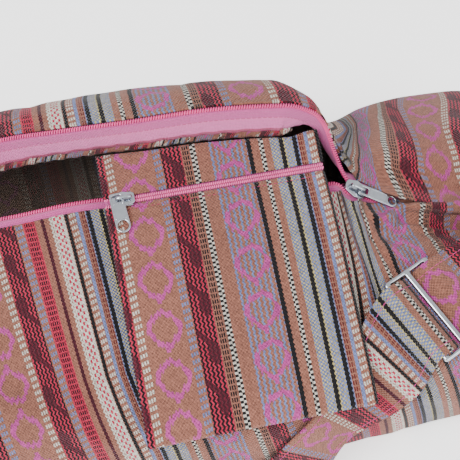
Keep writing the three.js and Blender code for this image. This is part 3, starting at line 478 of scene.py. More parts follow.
def tube_piece(name, points, radii, sides, material, coordinates=None, body="bag"):
    """A round tube along points, with a radius at each and its two ends closed."""
    _, side, up = path_frames(points)
    angle = np.linspace(0, 2 * np.pi, sides, endpoint=False)
    ring = side[:, None] * np.cos(angle)[:, None] + up[:, None] * np.sin(angle)[:, None]
    radii = np.broadcast_to(radii, len(points))
    tube = points[:, None] + ring * radii[:, None, None]
    faces = grid_faces(len(points), sides, closed=True)
    faces.append(list(range(sides)))
    faces.append([(len(points) - 1) * sides + k for k in range(sides)][::-1])
    if coordinates is None:
        run = length_along(points, 0)
        turn = angle * np.mean(radii)
        coordinates = np.stack(np.meshgrid(run, turn, indexing="ij"), -1)
    return make_piece(name, tube, faces, coordinates, material, body)


def resampled(points, step):
    """Points at even steps along a path, and the running length at each."""
    run = length_along(points, 0)
    wanted = np.linspace(0, run[-1], max(2, int(round(run[-1] / step)) + 1))
    return np.stack([np.interp(wanted, run, points[:, k]) for k in range(3)], 1), wanted


# Coil: a fine wire wound round each zip line
def coil_piece(name, points, radius, pitch, wire, material, lean=1.0):
    per_turn, sides = 10, 4
    centres, run = resampled(points, pitch / per_turn)
    _, side, up = path_frames(centres)
    angle = 2 * np.pi * run / pitch
    arm = radius - wire
    ring = side * (np.cos(angle) * arm)[:, None] + up * (np.sin(angle) * arm * lean)[:, None]
    line = centres + ring
    tangent = unit(np.gradient(line, axis=0))
    outward = unit(ring)
    other = np.cross(tangent, outward)
    turn = np.linspace(0, 2 * np.pi, sides, endpoint=False)
    tube = line[:, None] + wire * (
        outward[:, None] * np.cos(turn)[:, None] + other[:, None] * np.sin(turn)[:, None]
    )
    faces = grid_faces(len(line), sides, closed=True)
    coordinates = np.stack(np.meshgrid(run, turn, indexing="ij"), -1)
    return make_piece(name, tube, faces, coordinates, material)


def stitch_piece(name, rows, material, length=2.6, gap=1.3, radius=0.28, body="bag"):
    """Rows of short stitches: each row is a path with the cloth's normal along it."""
    points, faces, coordinates = [], [], []
    for path, normals in rows:
        run = length_along(path, 0)
        count = int(run[-1] / (length + gap))
        for k in range(count):
            at = (k + 0.5) * (length + gap) + np.linspace(-0.5, 0.5, 5) * length
            line = np.stack([np.interp(at, run, path[:, c]) for c in range(3)], 1)
            up = unit(np.stack([np.interp(at, run, normals[:, c]) for c in range(3)], 1))
            side = np.cross(unit(np.gradient(line, axis=0)), up)
            arch = np.array([0.15, 0.85, 1.0, 0.85, 0.15])[:, None]
            line = line + up * radius * (arch - 0.4)
            turn = np.linspace(0, 2 * np.pi, 6, endpoint=False)
            thick = radius * np.array([0.45, 0.9, 1.0, 0.9, 0.45])[:, None, None]
            ring = side[:, None] * np.cos(turn)[:, None] + up[:, None] * np.sin(turn)[:, None]
            start = sum(len(p) for p in points)
            points.append((line[:, None] + ring * thick).reshape(-1, 3))
            faces += grid_faces(5, 6, start, closed=True)
            coordinates.append(np.stack(np.meshgrid(at, turn, indexing="ij"), -1).reshape(-1, 2))
    return make_piece(name, np.concatenate(points), faces, np.concatenate(coordinates), material, body)


# Materials
def srgb(red, green, blue):
    """Linear colour from the usual 0 to 255 values."""
    def linear(value):
        value = value / 255
        return value / 12.92 if value <= 0.04045 else ((value + 0.055) / 1.055) ** 2.4
    return (linear(red), linear(green), linear(blue), 1.0)


class Term:
    """A shader value that can be reckoned with like a number."""

    def __init__(self, nodes, socket):
        self.nodes = nodes
        self.socket = socket

    def __add__(self, other):
        return self.nodes.math("ADD", self, other)

    def __sub__(self, other):
        return self.nodes.math("SUBTRACT", self, other)

    def __mul__(self, other):
        return self.nodes.math("MULTIPLY", self, other)

    def __truediv__(self, other):
        return self.nodes.math("DIVIDE", self, other)

    def __pow__(self, other):
        return self.nodes.math("POWER", self, other)

    def __lt__(self, other):
        return self.nodes.math("LESS_THAN", self, other)

    def __gt__(self, other):
        return self.nodes.math("GREATER_THAN", self, other)

    def __abs__(self):
        return self.nodes.math("ABSOLUTE", self)

    def fract(self):
        return self.nodes.math("FRACT", self)

    def floor(self):
        return self.nodes.math("FLOOR", self)

    def larger(self, other):
        return self.nodes.math("MAXIMUM", self, other)

    def near(self, value, reach):
        """1 within reach of the value and 0 elsewhere."""
        return self.nodes.math("COMPARE", self, value, reach)

    def wave(self, period, kind="SINE"):
        return self.nodes.math(kind, self * (2 * math.pi / period))


class Nodes:
    """Short ways to add and link shader nodes."""

    def __init__(self, tree):
        self.tree = tree

    def add(self, kind, **settings):
        node = self.tree.nodes.new(kind)
        for name, value in settings.items():
            setattr(node, name, value)
        return node

    def feed(self, socket, value):
        if isinstance(value, Term):
            self.tree.links.new(value.socket, socket)
        else:
            socket.default_value = value

    def term(self, node, index=0):
        return Term(self, node.outputs[index])

    def math(self, operation, *values):
        node = self.add("ShaderNodeMath", operation=operation)
        for socket, value in zip(node.inputs, values):
            self.feed(socket, value)
        return self.term(node)

    def mix(self, factor, a, b, blend="MIX"):
        node = self.add("ShaderNodeMix", data_type="RGBA", blend_type=blend)
        for index, value in ((0, factor), (6, a), (7, b)):
            self.feed(node.inputs[index], value)
        return self.term(node, 2)

    def shaded(self, colour, shade):
        """Colour made lighter or darker by a grey value."""
        grey = self.add("ShaderNodeCombineColor")
        for socket in grey.inputs[:3]:
            self.feed(socket, shade)
        return self.mix(1.0, colour, self.term(grey), "MULTIPLY")

    def ramp(self, factor, stops, interpolation="CONSTANT"):
        node = self.add("ShaderNodeValToRGB")
        node.color_ramp.interpolation = interpolation
        elements = node.color_ramp.elements
        while len(elements) > 1:
            elements.remove(elements[-1])
        elements[0].position = stops[0][0]
        elements[0].color = stops[0][1]
        for place, colour in stops[1:]:
            elements.new(place).color = colour
        self.feed(node.inputs[0], factor)
        return self.term(node)

    def split(self, colour):
        node = self.add("ShaderNodeSeparateColor")
        self.feed(node.inputs[0], colour)
        return [self.term(node, index) for index in range(3)]

    def uv(self):
        node = self.add("ShaderNodeUVMap", uv_map="Weave")
        apart = self.add("ShaderNodeSeparateXYZ")
        self.feed(apart.inputs[0], self.term(node))
        return self.term(apart, 0), self.term(apart, 1)

    def speckle(self, x, y):
        """Even random value from whole numbers."""
        place = self.add("ShaderNodeCombineXYZ")
        self.feed(place.inputs[0], x)
        self.feed(place.inputs[1], y)
        node = self.add("ShaderNodeTexWhiteNoise", noise_dimensions="3D")
        self.feed(node.inputs[0], self.term(place))
        return self.term(node)

    def clouds(self, scale, detail=2.0):
        coordinates = self.add("ShaderNodeTexCoord")
        node = self.add("ShaderNodeTexNoise")
        self.tree.links.new(coordinates.outputs["Object"], node.inputs["Vector"])
        self.feed(node.inputs["Scale"], scale)
        self.feed(node.inputs["Detail"], detail)
        return self.term(node)


# Yarns of the cloth
TAN = srgb(178, 116, 97)
PINK = srgb(218, 84, 170)
HOT_PINK = srgb(226, 44, 84)
BLACK = srgb(18, 14, 20)
MAROON = srgb(82, 14, 36)
BROWN = srgb(116, 40, 38)
WHITE = srgb(252, 244, 230)
BLUE = srgb(136, 150, 204)
CREAM = srgb(220, 202, 140)

# One repeat of the stripes: width in warp threads, kind, ground yarn and figure yarn. The
# repeat is 255 threads wide, because a colour ramp is looked up at that many steps.
(PLAIN, TICKS, BRICKS, CHAIN, ZIGZAG, CHECKER, WAVES, RINGS, WAVE_LINE, FINE_TICKS,
 LADDER) = range(11)
STRIPES = [
    [8, TICKS, TAN, WHITE],
    [34, RINGS, TAN, TAN],
    [8, TICKS, TAN, BLUE],
    [18, ZIGZAG, HOT_PINK, BLACK],
    [8, LADDER, TAN, BLACK],
    [5, CHECKER, WHITE, BLACK],
    [12, PLAIN, TAN, TAN],
    [32, WAVES, TAN, BLUE],
    [5, CHAIN, TAN, BLACK],
    [6, PLAIN, TAN, TAN],
    [4, CHECKER, WHITE, BLACK],
    [6, PLAIN, TAN, TAN],
    [8, FINE_TICKS, BLUE, CREAM],
    [5, CHAIN, CREAM, BLACK],
    [7, FINE_TICKS, BLUE, CREAM],
    [5, CHAIN, BLUE, BLACK],
    [6, LADDER, TAN, BROWN],
    [3, PLAIN, BLUE, BLUE],
    [7, TICKS, TAN, WHITE],
    [4, CHAIN, TAN, BLACK],
    [2, WAVE_LINE, WHITE, WHITE],
    [9, BRICKS, WHITE, HOT_PINK],
    [3, WAVE_LINE, TAN, WHITE],
    [4, PLAIN, TAN, TAN],
    [4, CHAIN, TAN, MAROON],
    [5, PLAIN, TAN, TAN],
    [11, LADDER, HOT_PINK, BLACK],
    [8, TICKS, TAN, BLUE],
    [18, ZIGZAG, HOT_PINK, BLACK],
]
REPEAT_THREADS = 255
WARP = 0.665
REPEAT = REPEAT_THREADS * WARP
WEFT = 1.05
KIND_SCALE = 16
WIDTH_SCALE = 64
RING_SPACING = 26.5
RING_SIZE = (8.9, 9.2)
RING_STROKE = 0.165
LENS_AT = 9.0


def stripe_ramps(n, place):
    """Ramps over one repeat: stripe start, width and kind, ground yarn and figure yarn."""
    facts, grounds, figures = [], [], []
    start = 0
    for width, kind, ground, figure in STRIPES:
        at = start / REPEAT_THREADS
        stop = max(0, (start - 0.4) / REPEAT_THREADS)
        facts.append((stop, (at, width / WIDTH_SCALE, kind / KIND_SCALE, 1)))
        grounds.append((stop, ground))
        figures.append((stop, figure))
        start += width
    return n.ramp(place, facts), n.ramp(place, grounds), n.ramp(place, figures)


def swing(value, period):
    """A triangle wave between -1 and 1."""
    return abs((value / period).fract() - 0.5) * 4 - 1


def tick_mask(a, v, column, row, width_share, height_share, shift):
    """Short floats in columns, each set off from the last by a share of a row."""
    place = a / column
    rise = (v / row + place.floor() * shift).fract()
    return (place.fract() < width_share) * (rise < height_share)


def oval_distance(x, y, power):
    return (abs(x) ** power + abs(y) ** power) ** (1 / power)


def float_stripes(a, v, w, middle):
    """Where each kind of stripe shows its figure yarn, from a across it and v along it."""
    inside = (a > 0.45) * (a < w - 0.35)
    inset = a - 0.55
    beads = v.wave(2.5, "COSINE")
    bars = (v / 3.1).fract() < 0.72
    posts = (inset / 1.33).fract() < 0.62
    return {
        TICKS: inside * tick_mask(inset, v, 1.5, 3.9, 0.66, 0.56, 0.1),
        BRICKS: inside * tick_mask(inset, v, 1.75, 4.0, 0.72, 0.5, 0.5),
        FINE_TICKS: tick_mask(a, v, 1.33, 2.1, 0.8, 0.5, 0.5),
        CHAIN: abs(middle) < w * (beads * 0.09 + 0.4),
        ZIGZAG: ((a + swing(v, 3.0) * 0.55) / 2.4).fract() < 0.56,
        CHECKER: abs((middle < 0) - ((v / 2.7).fract() > 0.5)),
        WAVES: ((a + swing(v, 2.9) * 0.42) / 3.05).fract() < 0.42,
        WAVE_LINE: abs(middle + swing(v, 2.8) * 0.5) < 0.62,
        LADDER: bars * posts * (abs(middle) < w * 0.38),
    }


def from_middle(v):
    """Distance along the cloth from the middle of the ring that v lies in."""
    return ((v / RING_SPACING).fract() - 0.5) * RING_SPACING


def ring_floats(n, u, v, middle):
    """Rings with a short tail at the lower end, drawn by upright floats of uneven length."""
    column = (u / (WARP * 1.5)).floor()
    ragged = (n.speckle(column, 3.0) - 0.5) * 3.4
    y = from_middle(v)
    distance = oval_distance(middle / RING_SIZE[0], (y + ragged) / RING_SIZE[1], 1.5)
    tail = (abs(middle) < 1.2) * y.near(11.2, 1.9)
    return distance.near(1.0, RING_STROKE).larger(tail)


def lens_floats(v, middle, w):
    """Maroon leaves on one side of the zigzag stripes, each with a band across to the other."""
    y = from_middle(v + LENS_AT)
    x = middle / w
    leaf_x = (x - 0.2 + swing(v, 2.1) * 0.05) / 0.34
    leaf = oval_distance(leaf_x, y / 7.0, 1.25) < 1
    band = abs(x * 13 - (y + 6.5)) < 2.3
    return leaf.larger(band * (x < 0.25))


def weave_shade_and_yarn_tone(n, u, v):
    """Relief of the plain weave and its light and shade painted into the colour, with yarns of slightly
    uneven colour and large patches lighter and darker at random.
    """
    weave = u.wave(3 * WARP) * v.wave(2 * WEFT)
    yarn = n.speckle((u / (1.5 * WARP)).floor(), (v / WEFT).floor())
    # Painted light and shade of the weave's crossings, together with the uneven yarn tone
    shade = weave * 0.32 + yarn * 0.62
    return weave, (shade + 1.0) * (n.clouds(9.0) * 0.26 + 0.33)


def woven_colour(n, u, v):
    """Yarn colour of the striped cloth with the weave's light and shade painted on it, and its relief, at
    fabric coordinates in mm.
    """
    place = (u / REPEAT).fract()
    facts, ground, figure = stripe_ramps(n, place)
    start, width, kind = n.split(facts)
    a = (place - start) * REPEAT
    w = width * (WIDTH_SCALE * WARP)
    middle = a - w * 0.5

    def is_kind(number):
        return (kind * KIND_SCALE).near(number, 0.3)

    floats = float_stripes(a, v, w, middle)
    shown = [mask * is_kind(number) for number, mask in floats.items()]
    total = shown[0]
    for mask in shown[1:]:
        total = total + mask
    ring = ring_floats(n, u, v, middle) * (is_kind(RINGS) + is_kind(WAVES))
    lens = lens_floats(v, middle, w) * is_kind(ZIGZAG)
    colour = n.mix(ring, n.mix(total, ground, figure), PINK)
    colour = n.mix(lens * 0.88, colour, MAROON)
    weave, shade = weave_shade_and_yarn_tone(n, u, v)
    relief = weave * 0.6 + (total * 0.7 + ring * 0.9)
    # The weave's painted light and shade, the uneven yarn tone and the random patches are multiplied into
    # the colour here
    return n.shaded(colour, shade), relief


def new_material(name):
    material = bpy.data.materials.new(name)
    material.use_nodes = True
    material.node_tree.nodes.clear()
    n = Nodes(material.node_tree)
    output = n.add("ShaderNodeOutputMaterial")
    shader = n.add("ShaderNodeBsdfPrincipled")
    n.tree.links.new(shader.outputs[0], output.inputs[0])
    return material, n, shader


def bump(n, shader, height, distance):
    node = n.add("ShaderNodeBump")
    n.feed(node.inputs["Strength"], 1.0)
    n.feed(node.inputs["Distance"], distance)
    n.feed(node.inputs["Height"], height)
    n.feed(shader.inputs["Normal"], n.term(node))


def lit(colour, share):
    """The colour made lighter or darker by a share."""
    return tuple(min(1, share * value) for value in colour[:3]) + (1,)


def cloth_material(name, tint=None, tint_share=0.0):
    """The striped cloth; its reverse is the same weave seen through a dull tint."""
    material, n, shader = new_material(name)
    u, v = n.uv()
    colour, relief = woven_colour(n, u, v)
    if tint:
        colour = n.mix(tint_share, colour, tint)
    n.feed(shader.inputs["Base Color"], colour)
    shader.inputs["Roughness"].default_value = 0.92
    shader.inputs["Specular IOR Level"].default_value = 0.2
    shader.inputs["Sheen Weight"].default_value = 0.15
    shader.inputs["Sheen Roughness"].default_value = 0.5
    bump(n, shader, relief, 0.0007)
    return material


def tape_material(name, painted_shade_pink, light, edge_line):
    """Ribbed zip tape: a band by the coil painted darker as shade, a lighter one beyond its stitched line,
    and light and shade painted along the ribs.
    """
    material, n, shader = new_material(name)
    u, v = n.uv()
    ribs = u.wave(0.9) + v.wave(1.1)
    # The band by the coil is painted shade: a darker pink up to the stitched line
    colour = n.ramp(v / 20, [(0.0, painted_shade_pink), (0.36, light), (0.78, edge_line)])
    on_line = v.near(7.4, 0.35) * ((u / 3.2).fract() > 0.3)
    colour = n.mix(on_line * 0.8, colour, edge_line)
    # Light and shade of the ribs is painted into the colour, between 85 and 105 percent
    n.feed(shader.inputs["Base Color"], n.shaded(colour, ribs * 0.05 + 0.95))
    shader.inputs["Roughness"].default_value = 0.7
    shader.inputs["Sheen Weight"].default_value = 0.3
    bump(n, shader, ribs, 0.00012)
    return material


def coil_material(name, colour, gloss):
    material, n, shader = new_material(name)
    tones = [(0.35, colour), (0.65, lit(colour, 1.2))]
    n.feed(shader.inputs["Base Color"], n.ramp(n.clouds(60.0), tones, "LINEAR"))
    shader.inputs["Roughness"].default_value = gloss
    return material


def metal_material(name, colour, roughness):
    """Bright plated metal with fine scratches and small bumps from casting."""
    material, n, shader = new_material(name)
    wear = n.clouds(300.0, 4.0)
    tones = [(0.3, colour), (0.7, lit(colour, 0.86))]
    n.feed(shader.inputs["Base Color"], n.ramp(wear, tones, "LINEAR"))
    shader.inputs["Metallic"].default_value = 1.0
    n.feed(shader.inputs["Roughness"], wear * 0.16 + roughness)
    bump(n, shader, n.clouds(900.0, 3.0), 0.00006)
    return material


def thread_material(name, colour):
    material, n, shader = new_material(name)
    u, v = n.uv()
    # Painted shade: the thread is darker in the grooves of its twist
    twist_shade = n.math("SINE", u * 9 + v)
    tones = [(0.0, lit(colour, 0.75)), (1.0, colour)]
    n.feed(shader.inputs["Base Color"], n.ramp(twist_shade * 0.4 + 0.5, tones, "LINEAR"))
    shader.inputs["Roughness"].default_value = 0.6
    return material


CLOTH = cloth_material("striped cloth")
REVERSE = cloth_material("cloth reverse", srgb(104, 94, 84), 0.78)
# The first pink is painted shade for the band by the coil
TAPE = tape_material("zip tape", srgb(208, 84, 154), srgb(232, 112, 178), srgb(196, 46, 112))
COIL = coil_material("zip coil", srgb(224, 80, 142), 0.42)
PALE_COIL = coil_material("pocket coil", srgb(236, 112, 168), 0.4)
METAL = metal_material("bright metal", (0.52, 0.55, 0.6, 1), 0.1)
PINK_THREAD = thread_material("pink thread", srgb(222, 70, 150))
POCKET_THREAD = thread_material("pocket thread", srgb(176, 40, 90))


# Bag body
def body_shares():
    coarse = np.linspace(-1, 1, 249)
    fine = np.linspace(0.58, 0.76, 91)
    return np.unique(np.round(np.concatenate([coarse, fine]), 4))


BODY_SHARES = body_shares()


# Beyond the slider the upper cloth leans over the closed zip
LIP_START, LIP_TURN, LIP_REACH, LIP_LEAN = 0.69, 0.13, 0.1, 3.6


def panel_turns(around_from, around_to):
    """Places round the panel, closer together beside the zip and in its folds."""
    near_zip = np.concatenate([np.linspace(0, 0.4, 31), np.linspace(8.5, LAST_AROUND, 39)])
    near_zip = near_zip[(near_zip > around_from) & (near_zip < around_to)]
    return np.unique(np.round(np.concatenate([np.linspace(around_from, around_to, 106), near_zip]), 4))


def panel_piece(name, around_from, around_to, places, turns):
    """One cloth panel with uneven lie, puckers along its zip seam and a dull reverse."""
    around = panel_turns(around_from, around_to)
    points, normals = cloth_grid(BODY_SHARES, around, fine=True)
    share, turn = np.meshgrid(BODY_SHARES, around, indexing="ij")
    on_floor = points[..., 2] < 0.5
    edge = np.minimum(turn, LAST_AROUND - turn)
    pucker = np.sin(share * HALF_LENGTH * 2 * np.pi / 8.5 + 2.5 * waviness(share, turn, 30, 4))
    height = 0.9 * waviness(share, turn, 42, 1) + 0.35 * waviness(share, turn, 15, 2)
    height = height * np.clip(edge / 0.4, 0.15, 1)
    height += 0.3 * pucker * np.exp(-(edge / 0.28) ** 2)
    height[on_floor] = 0
    points = points + normals * height[..., None]
    points[..., 2] = np.maximum(0, points[..., 2])
    lip = np.exp(-((turn - LIP_TURN) / LIP_REACH) ** 2) * np.clip((share - LIP_START) / 0.05, 0, 1)
    points[..., 1] -= LIP_LEAN * lip
    inner = points - normals * CLOTH_WALL
    u = across_stripes(places, turns, BODY_SHARES, around)
    v = length_along(points, 1)
    return wall_piece(name, points, inner, np.stack([u, v], -1), [CLOTH, REVERSE])


def make_body():
    gap = SEAT_GAP / AROUND_LENGTH / 2
    back = panel_piece("body_back", 0, BOTTOM_SEAM - gap, BACK_PLACES, BACK_TURNS)
    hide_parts("body_back_panel")
    front = panel_piece("body_front", BOTTOM_SEAM + gap, LAST_AROUND, FRONT_PLACES, FRONT_TURNS)
    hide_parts("body_front_panel")


def make_end(name, side, node):
    """Round end cloth: rings shrink from the bag's outline to its middle and swell a little."""
    rings = np.concatenate([[1.0], np.linspace(0.985, 0.06, 26)])
    around = np.linspace(0, LAST_AROUND, 129)[:-1]
    outline = cloth_grid(np.array([side - 0.001 * side, side]), around)[0][1]
    middle = outline.mean(0)
    layers = []
    for offset in (CLOTH_WALL, 0):
        layer = []
        for ring in rings:
            gathers = 0.5 * np.sin(np.arange(len(around)) * 2 * np.pi / 4) * (ring - 0.7) * (1 - ring) * 8
            swell = SEAT_GAP + offset + END_SWELL * (1 - ring**2) + gathers
            line = middle + (outline - middle) * ring
            line[:, 0] = side * (HALF_LENGTH + swell)
            layer.append(line)
        layers.append(np.array(layer))
    outer, inner = layers
    columns, lines = outer.shape[:2]
    count = columns * lines
    flip = side < 0
    faces = grid_faces(columns, lines, closed=True, flip=flip)
    faces += grid_faces(columns, lines, count, flip=not flip, closed=True)
    last = (columns - 1) * lines
    tip_out, tip_in = [last + k for k in range(lines)], [count + last + k for k in range(lines)]
    faces.append(tip_out if flip else tip_out[::-1])
    faces.append(tip_in[::-1] if flip else tip_in)
    for k in range(lines):
        after = (k + 1) % lines
        quad = [k, after, count + after, count + k]
        faces.append(quad if flip else quad[::-1])
    points = np.concatenate([outer.reshape(-1, 3), inner.reshape(-1, 3)])
    coordinates = np.stack([points[:, 1] + 60, points[:, 2]], -1)
    piece = make_piece(name, points, faces, coordinates, CLOTH)
    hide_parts(node)


# Main zip
ZIP_SHARES = BODY_SHARES[np.abs(BODY_SHARES) < 1 - 4 / HALF_LENGTH]
SUNK_FROM, SUNK_DEPTH = 0.71, 3.5


def zip_side(shares, side):
    """Coil middle, tape start, tape direction, tape normal and tape width along one side."""
    here, tangent, into, normal = zip_sides(shares)[side]
    sunk = np.clip((shares - SUNK_FROM) / 0.05, 0, 1)
    here = here - normal * (SUNK_DEPTH * sunk)[:, None]
    hang = column_at(SECTIONS, "hang", shares)
    turn = -hang if side == "upper" else LOWER_HANG * (1 + sunk)
    direction = turned(into, tangent, turn)
    coil = here + into * (COIL_RADIUS + COIL_GAP / 2)
    start = coil + direction * (COIL_RADIUS * 0.6)
    share = column_at(SECTIONS, "tape", shares) / 100 if side == "upper" else 1
    width = TAPE_WIDTH * share + COIL_RADIUS * 0.4 + SEAT_GAP
    return coil, start, direction, turned(normal, tangent, turn), np.broadcast_to(width, len(shares))


def tape_grid(start, direction, normal, width, wall, steps=8):
    across = np.linspace(0, 1, steps)
    flat = start[:, None] + direction[:, None] * (across * width[:, None])[..., None]
    run = length_along(start, 0)
    v = across * width[:, None]
    u = np.broadcast_to(run[:, None], v.shape)
    lift = normal[:, None] * wall / 2
    return flat + lift, flat - lift, np.stack([u, v], -1)


def make_main_zip():
    for side in ("upper", "lower"):
        coil, start, direction, normal, width = zip_side(ZIP_SHARES, side)
        ripple = 0.35 * np.sin(ZIP_SHARES * HALF_LENGTH * 2 * np.pi / 13)[:, None]
        outer, inner, coordinates = tape_grid(start, direction, normal, width, TAPE_WALL)
        outer[:, -3:] += normal[:, None] * ripple[:, None]
        inner[:, -3:] += normal[:, None] * ripple[:, None]
        tape = wall_piece(f"main_tape_{side}", outer, inner, coordinates, [TAPE])
        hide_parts(f"zip_tape_{side}")
        teeth = coil_piece(f"main_coil_{side}", coil, COIL_RADIUS, 1.5, 0.5, COIL)
        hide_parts(f"zip_coil_{side}")


def roll_middle(shares):
    """Middle line of the rolled seam that hangs on the upper tape."""
    _, start, direction, _, width = zip_side(shares, "upper")
    return start + direction * (width + SEAM_ROLL_RADIUS)[:, None]


FLAP_SHARES = (-0.72, -0.115)
FLAP_REACH = 15


def make_seam_flap():
    """Loose edge of the seam's cloth, which hangs into the mouth left of the pocket."""
    shares = ZIP_SHARES[(ZIP_SHARES > FLAP_SHARES[0]) & (ZIP_SHARES < FLAP_SHARES[1])]
    top = roll_middle(shares)
    share = (shares - FLAP_SHARES[0]) / (FLAP_SHARES[1] - FLAP_SHARES[0])
    reach = FLAP_REACH * np.minimum(1, np.minimum((1 - share) / 0.35, share / 0.3)) ** 0.7
    down = np.linspace(0, 1, 12)
    run = reach[:, None] * down
    wave = 1.2 * np.sin(share * 19)[:, None] * down
    points = np.repeat(top[:, None], len(down), 1)
    points[..., 1] += -1.0 - run * 0.25 + wave
    points[..., 2] += -1.0 - run * 0.92
    normals = grid_normals(points)
    u = 357 * (0.547 - shares)[:, None] + 0 * down
    v = run + 6
    flap = wall_piece("seam_flap", points, points + normals * 1.1, np.stack([u, v], -1), [CLOTH])


def make_seam_roll():
    shares = ZIP_SHARES[(ZIP_SHARES > ROLL_START) & (ZIP_SHARES < ROLL_END)]
    points, run = resampled(roll_middle(shares), 1.6)
    radii = SEAM_ROLL_RADIUS * (1 + 0.12 * np.sin(run * 2 * np.pi / 9)
                                + 0.06 * np.sin(run * 2 * np.pi / 3.7))
    angle = np.linspace(0, 2 * np.pi, 12, endpoint=False)
    u, v = np.meshgrid(-2.2 * run, angle * SEAM_ROLL_RADIUS, indexing="ij")
    roll = tube_piece("seam_roll", points, radii, 12, CLOTH, np.stack([u + 1.2 * v, v], -1))
    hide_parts("mouth_seam_roll")


# Metal pieces are cut from flat outlines with rounded edges
def outline_mesh(name, splines, wall, rounding):
    """A flat plate from closed outlines, the first being its edge and the others its holes."""
    curve = bpy.data.curves.new(name, "CURVE")
    curve.dimensions = "2D"
    curve.fill_mode = "BOTH"
    curve.extrude = (wall / 2 - rounding) * MM
    curve.bevel_depth = rounding * MM
    curve.bevel_resolution = 2
    curve.offset = -rounding * MM
    for points in splines:
        spline = curve.splines.new("POLY")
        spline.points.add(len(points) - 1)
        spline.use_cyclic_u = True
        for place, (x, y) in zip(spline.points, points):
            place.co = (x * MM, y * MM, 0, 1)
    holder = add_object(name, curve)
    graph = bpy.context.evaluated_depsgraph_get()
    mesh = bpy.data.meshes.new_from_object(holder.evaluated_get(graph))
    bpy.data.objects.remove(holder)
    bpy.data.curves.remove(curve)
    return mesh


def arc(x, y, radius, start, end, steps=12):
    angle = np.radians(np.linspace(start, end, steps + 1))
    return [(x + radius * math.cos(a), y + radius * math.sin(a)) for a in angle]


def rounded_box(low_x, low_y, high_x, high_y, radius):
    points = arc(high_x - radius, low_y + radius, radius, -90, 0, 4)
    points += arc(high_x - radius, high_y - radius, radius, 0, 90, 4)
    points += arc(low_x + radius, high_y - radius, radius, 90, 180, 4)
    return points + arc(low_x + radius, low_y + radius, radius, 180, 270, 4)


def sweep_mesh(path, width, wall):
    """A flat rounded bar along a path in the XZ plane, as lists of points and faces."""
    path = np.asarray(path, float)
    tangent = unit(np.gradient(path, axis=0))
    side = np.array([0.0, 1.0, 0.0])
    up = np.cross(tangent, side)
    turn = np.linspace(0, 2 * np.pi, 12, endpoint=False)
    power = 0.6
    across = np.sign(np.cos(turn)) * np.abs(np.cos(turn)) ** power * width / 2
    high = np.sign(np.sin(turn)) * np.abs(np.sin(turn)) ** power * wall / 2
    points = path[:, None] + side * across[:, None] + up[:, None] * high[:, None]
    faces = grid_faces(len(path), 12, closed=True)
    faces.append(list(range(12)))
    faces.append([(len(path) - 1) * 12 + k for k in range(12)][::-1])
    return points.reshape(-1, 3), faces


def joined_piece(name, parts, place, material, body="bag"):
    """One object from meshes in metres and (points, faces) in millimetres, set by a frame."""
    points, faces = [], []
    for part in parts:
        start = len(points)
        if isinstance(part, tuple):
            local, added = part
            local = local.tolist()
        else:
            local = [tuple(vertex.co / MM) for vertex in part.vertices]
            added = [list(face.vertices) for face in part.polygons]
        points += [tuple(p) for p in local]
        faces += [[start + k for k in face] for face in added]
    local = np.array(points)
    origin, x, y, z = place
    world = origin + local[:, :1] * x + local[:, 1:2] * y + local[:, 2:] * z
    piece = make_piece(name, world, faces, local[:, :2], material, body)
    piece.data.shade_smooth()
    piece.data.set_sharp_from_angle(angle=math.radians(35))
    return piece


def shifted(mesh, z):
    for vertex in mesh.vertices:
        vertex.co.z += z * MM
    return mesh


def slider_parts(size):
    """Two shield-shaped plates, the post between them, side lips and an arched bridge."""
    length, width = size["length"], size["width"]
    half, tail = width / 2, width * 0.36
    nose, heel = -length / 2, length / 2
    shield = arc(nose + half * 0.8, 0, half, 140, 220, 8)
    shield += [(nose + half * 1.1, -half), (heel - 1.2, -tail), (heel, -tail + 0.8)]
    shield += [(heel, tail - 0.8), (heel - 1.2, tail), (nose + half * 1.1, half)]
    level = size["throat"] / 2 + size["plate"] / 2
    parts = [
        shifted(outline_mesh("plate", [shield], size["plate"], 0.3), level),
        shifted(outline_mesh("plate", [shield], size["plate"], 0.3), -level),
    ]
    post = rounded_box(nose + 0.6, -size["post"] / 2, nose + length * 0.24, size["post"] / 2, 0.4)
    parts.append(outline_mesh("post", [post], size["throat"], 0.1))
    for side in (-1, 1):
        low, high = sorted((side * (tail - 0.1), side * (tail + 0.9)))
        lip = rounded_box(0.6, low, heel - 1.4, high, 0.3)
        for level_sign in (-1, 1):
            lip_mesh = outline_mesh("lip", [lip], size["throat"] * 0.22, 0.2)
            parts.append(shifted(lip_mesh, level_sign * size["throat"] * 0.4))
    top = size["throat"] / 2 + size["plate"]
    arch_x = length * 0.4 - size["bridge_wall"] / 2
    crown = size["bridge_room"] + size["bridge_wall"] / 2
    turn = np.linspace(0, np.pi, 17)
    power = 0.45
    arch = [(-arch_x * np.sign(np.cos(t)) * abs(np.cos(t)) ** power, 0,
             top - 0.3 + (crown + 0.3) * np.sin(t) ** power) for t in turn]
    parts.append(sweep_mesh(arch, size["bridge_width"], size["bridge_wall"]))
    return parts


PULL_TAPER = 0.3


def pull_parts(size, centre_hollow):
    """A tapered tab with a loop at its head, a round hole at its foot and a sunk middle."""
    head, foot = -size["rail"] / 2, size["length"] - size["width"] / 2
    half, neck = size["width"] / 2, size["width"] / 2 - PULL_TAPER
    edge = [(head, -neck + 0.8), (head + 0.8, -neck)] + arc(foot, 0, half, -90, 90, 20)
    edge += [(head + 0.8, neck), (head, neck - 0.8)]
    inner = neck - size["rail"]
    loop = rounded_box(size["rail"] / 2, -inner, size["rail"] / 2 + size["loop"], inner, 0.6)
    hole = arc(foot, 0, size["hole"] / 2, 0, 342, 19)
    parts = [outline_mesh("pull", [edge, loop, hole], size["wall"], 0.3)]
    if centre_hollow:
        start, end = size["rail"] / 2 + size["loop"] + 1.2, foot - size["hole"] / 2 - 1.2
        frame_edge = rounded_box(start - 0.5, -neck + 0.4, end + 0.5, neck - 0.4, 1.2)
        frame_hole = rounded_box(start, -neck + 1.1, end, neck - 1.1, 0.8)
        rim = outline_mesh("rim", [frame_edge, frame_hole], 0.5, 0.15)
        parts.append(shifted(rim, size["wall"] / 2))
    return parts


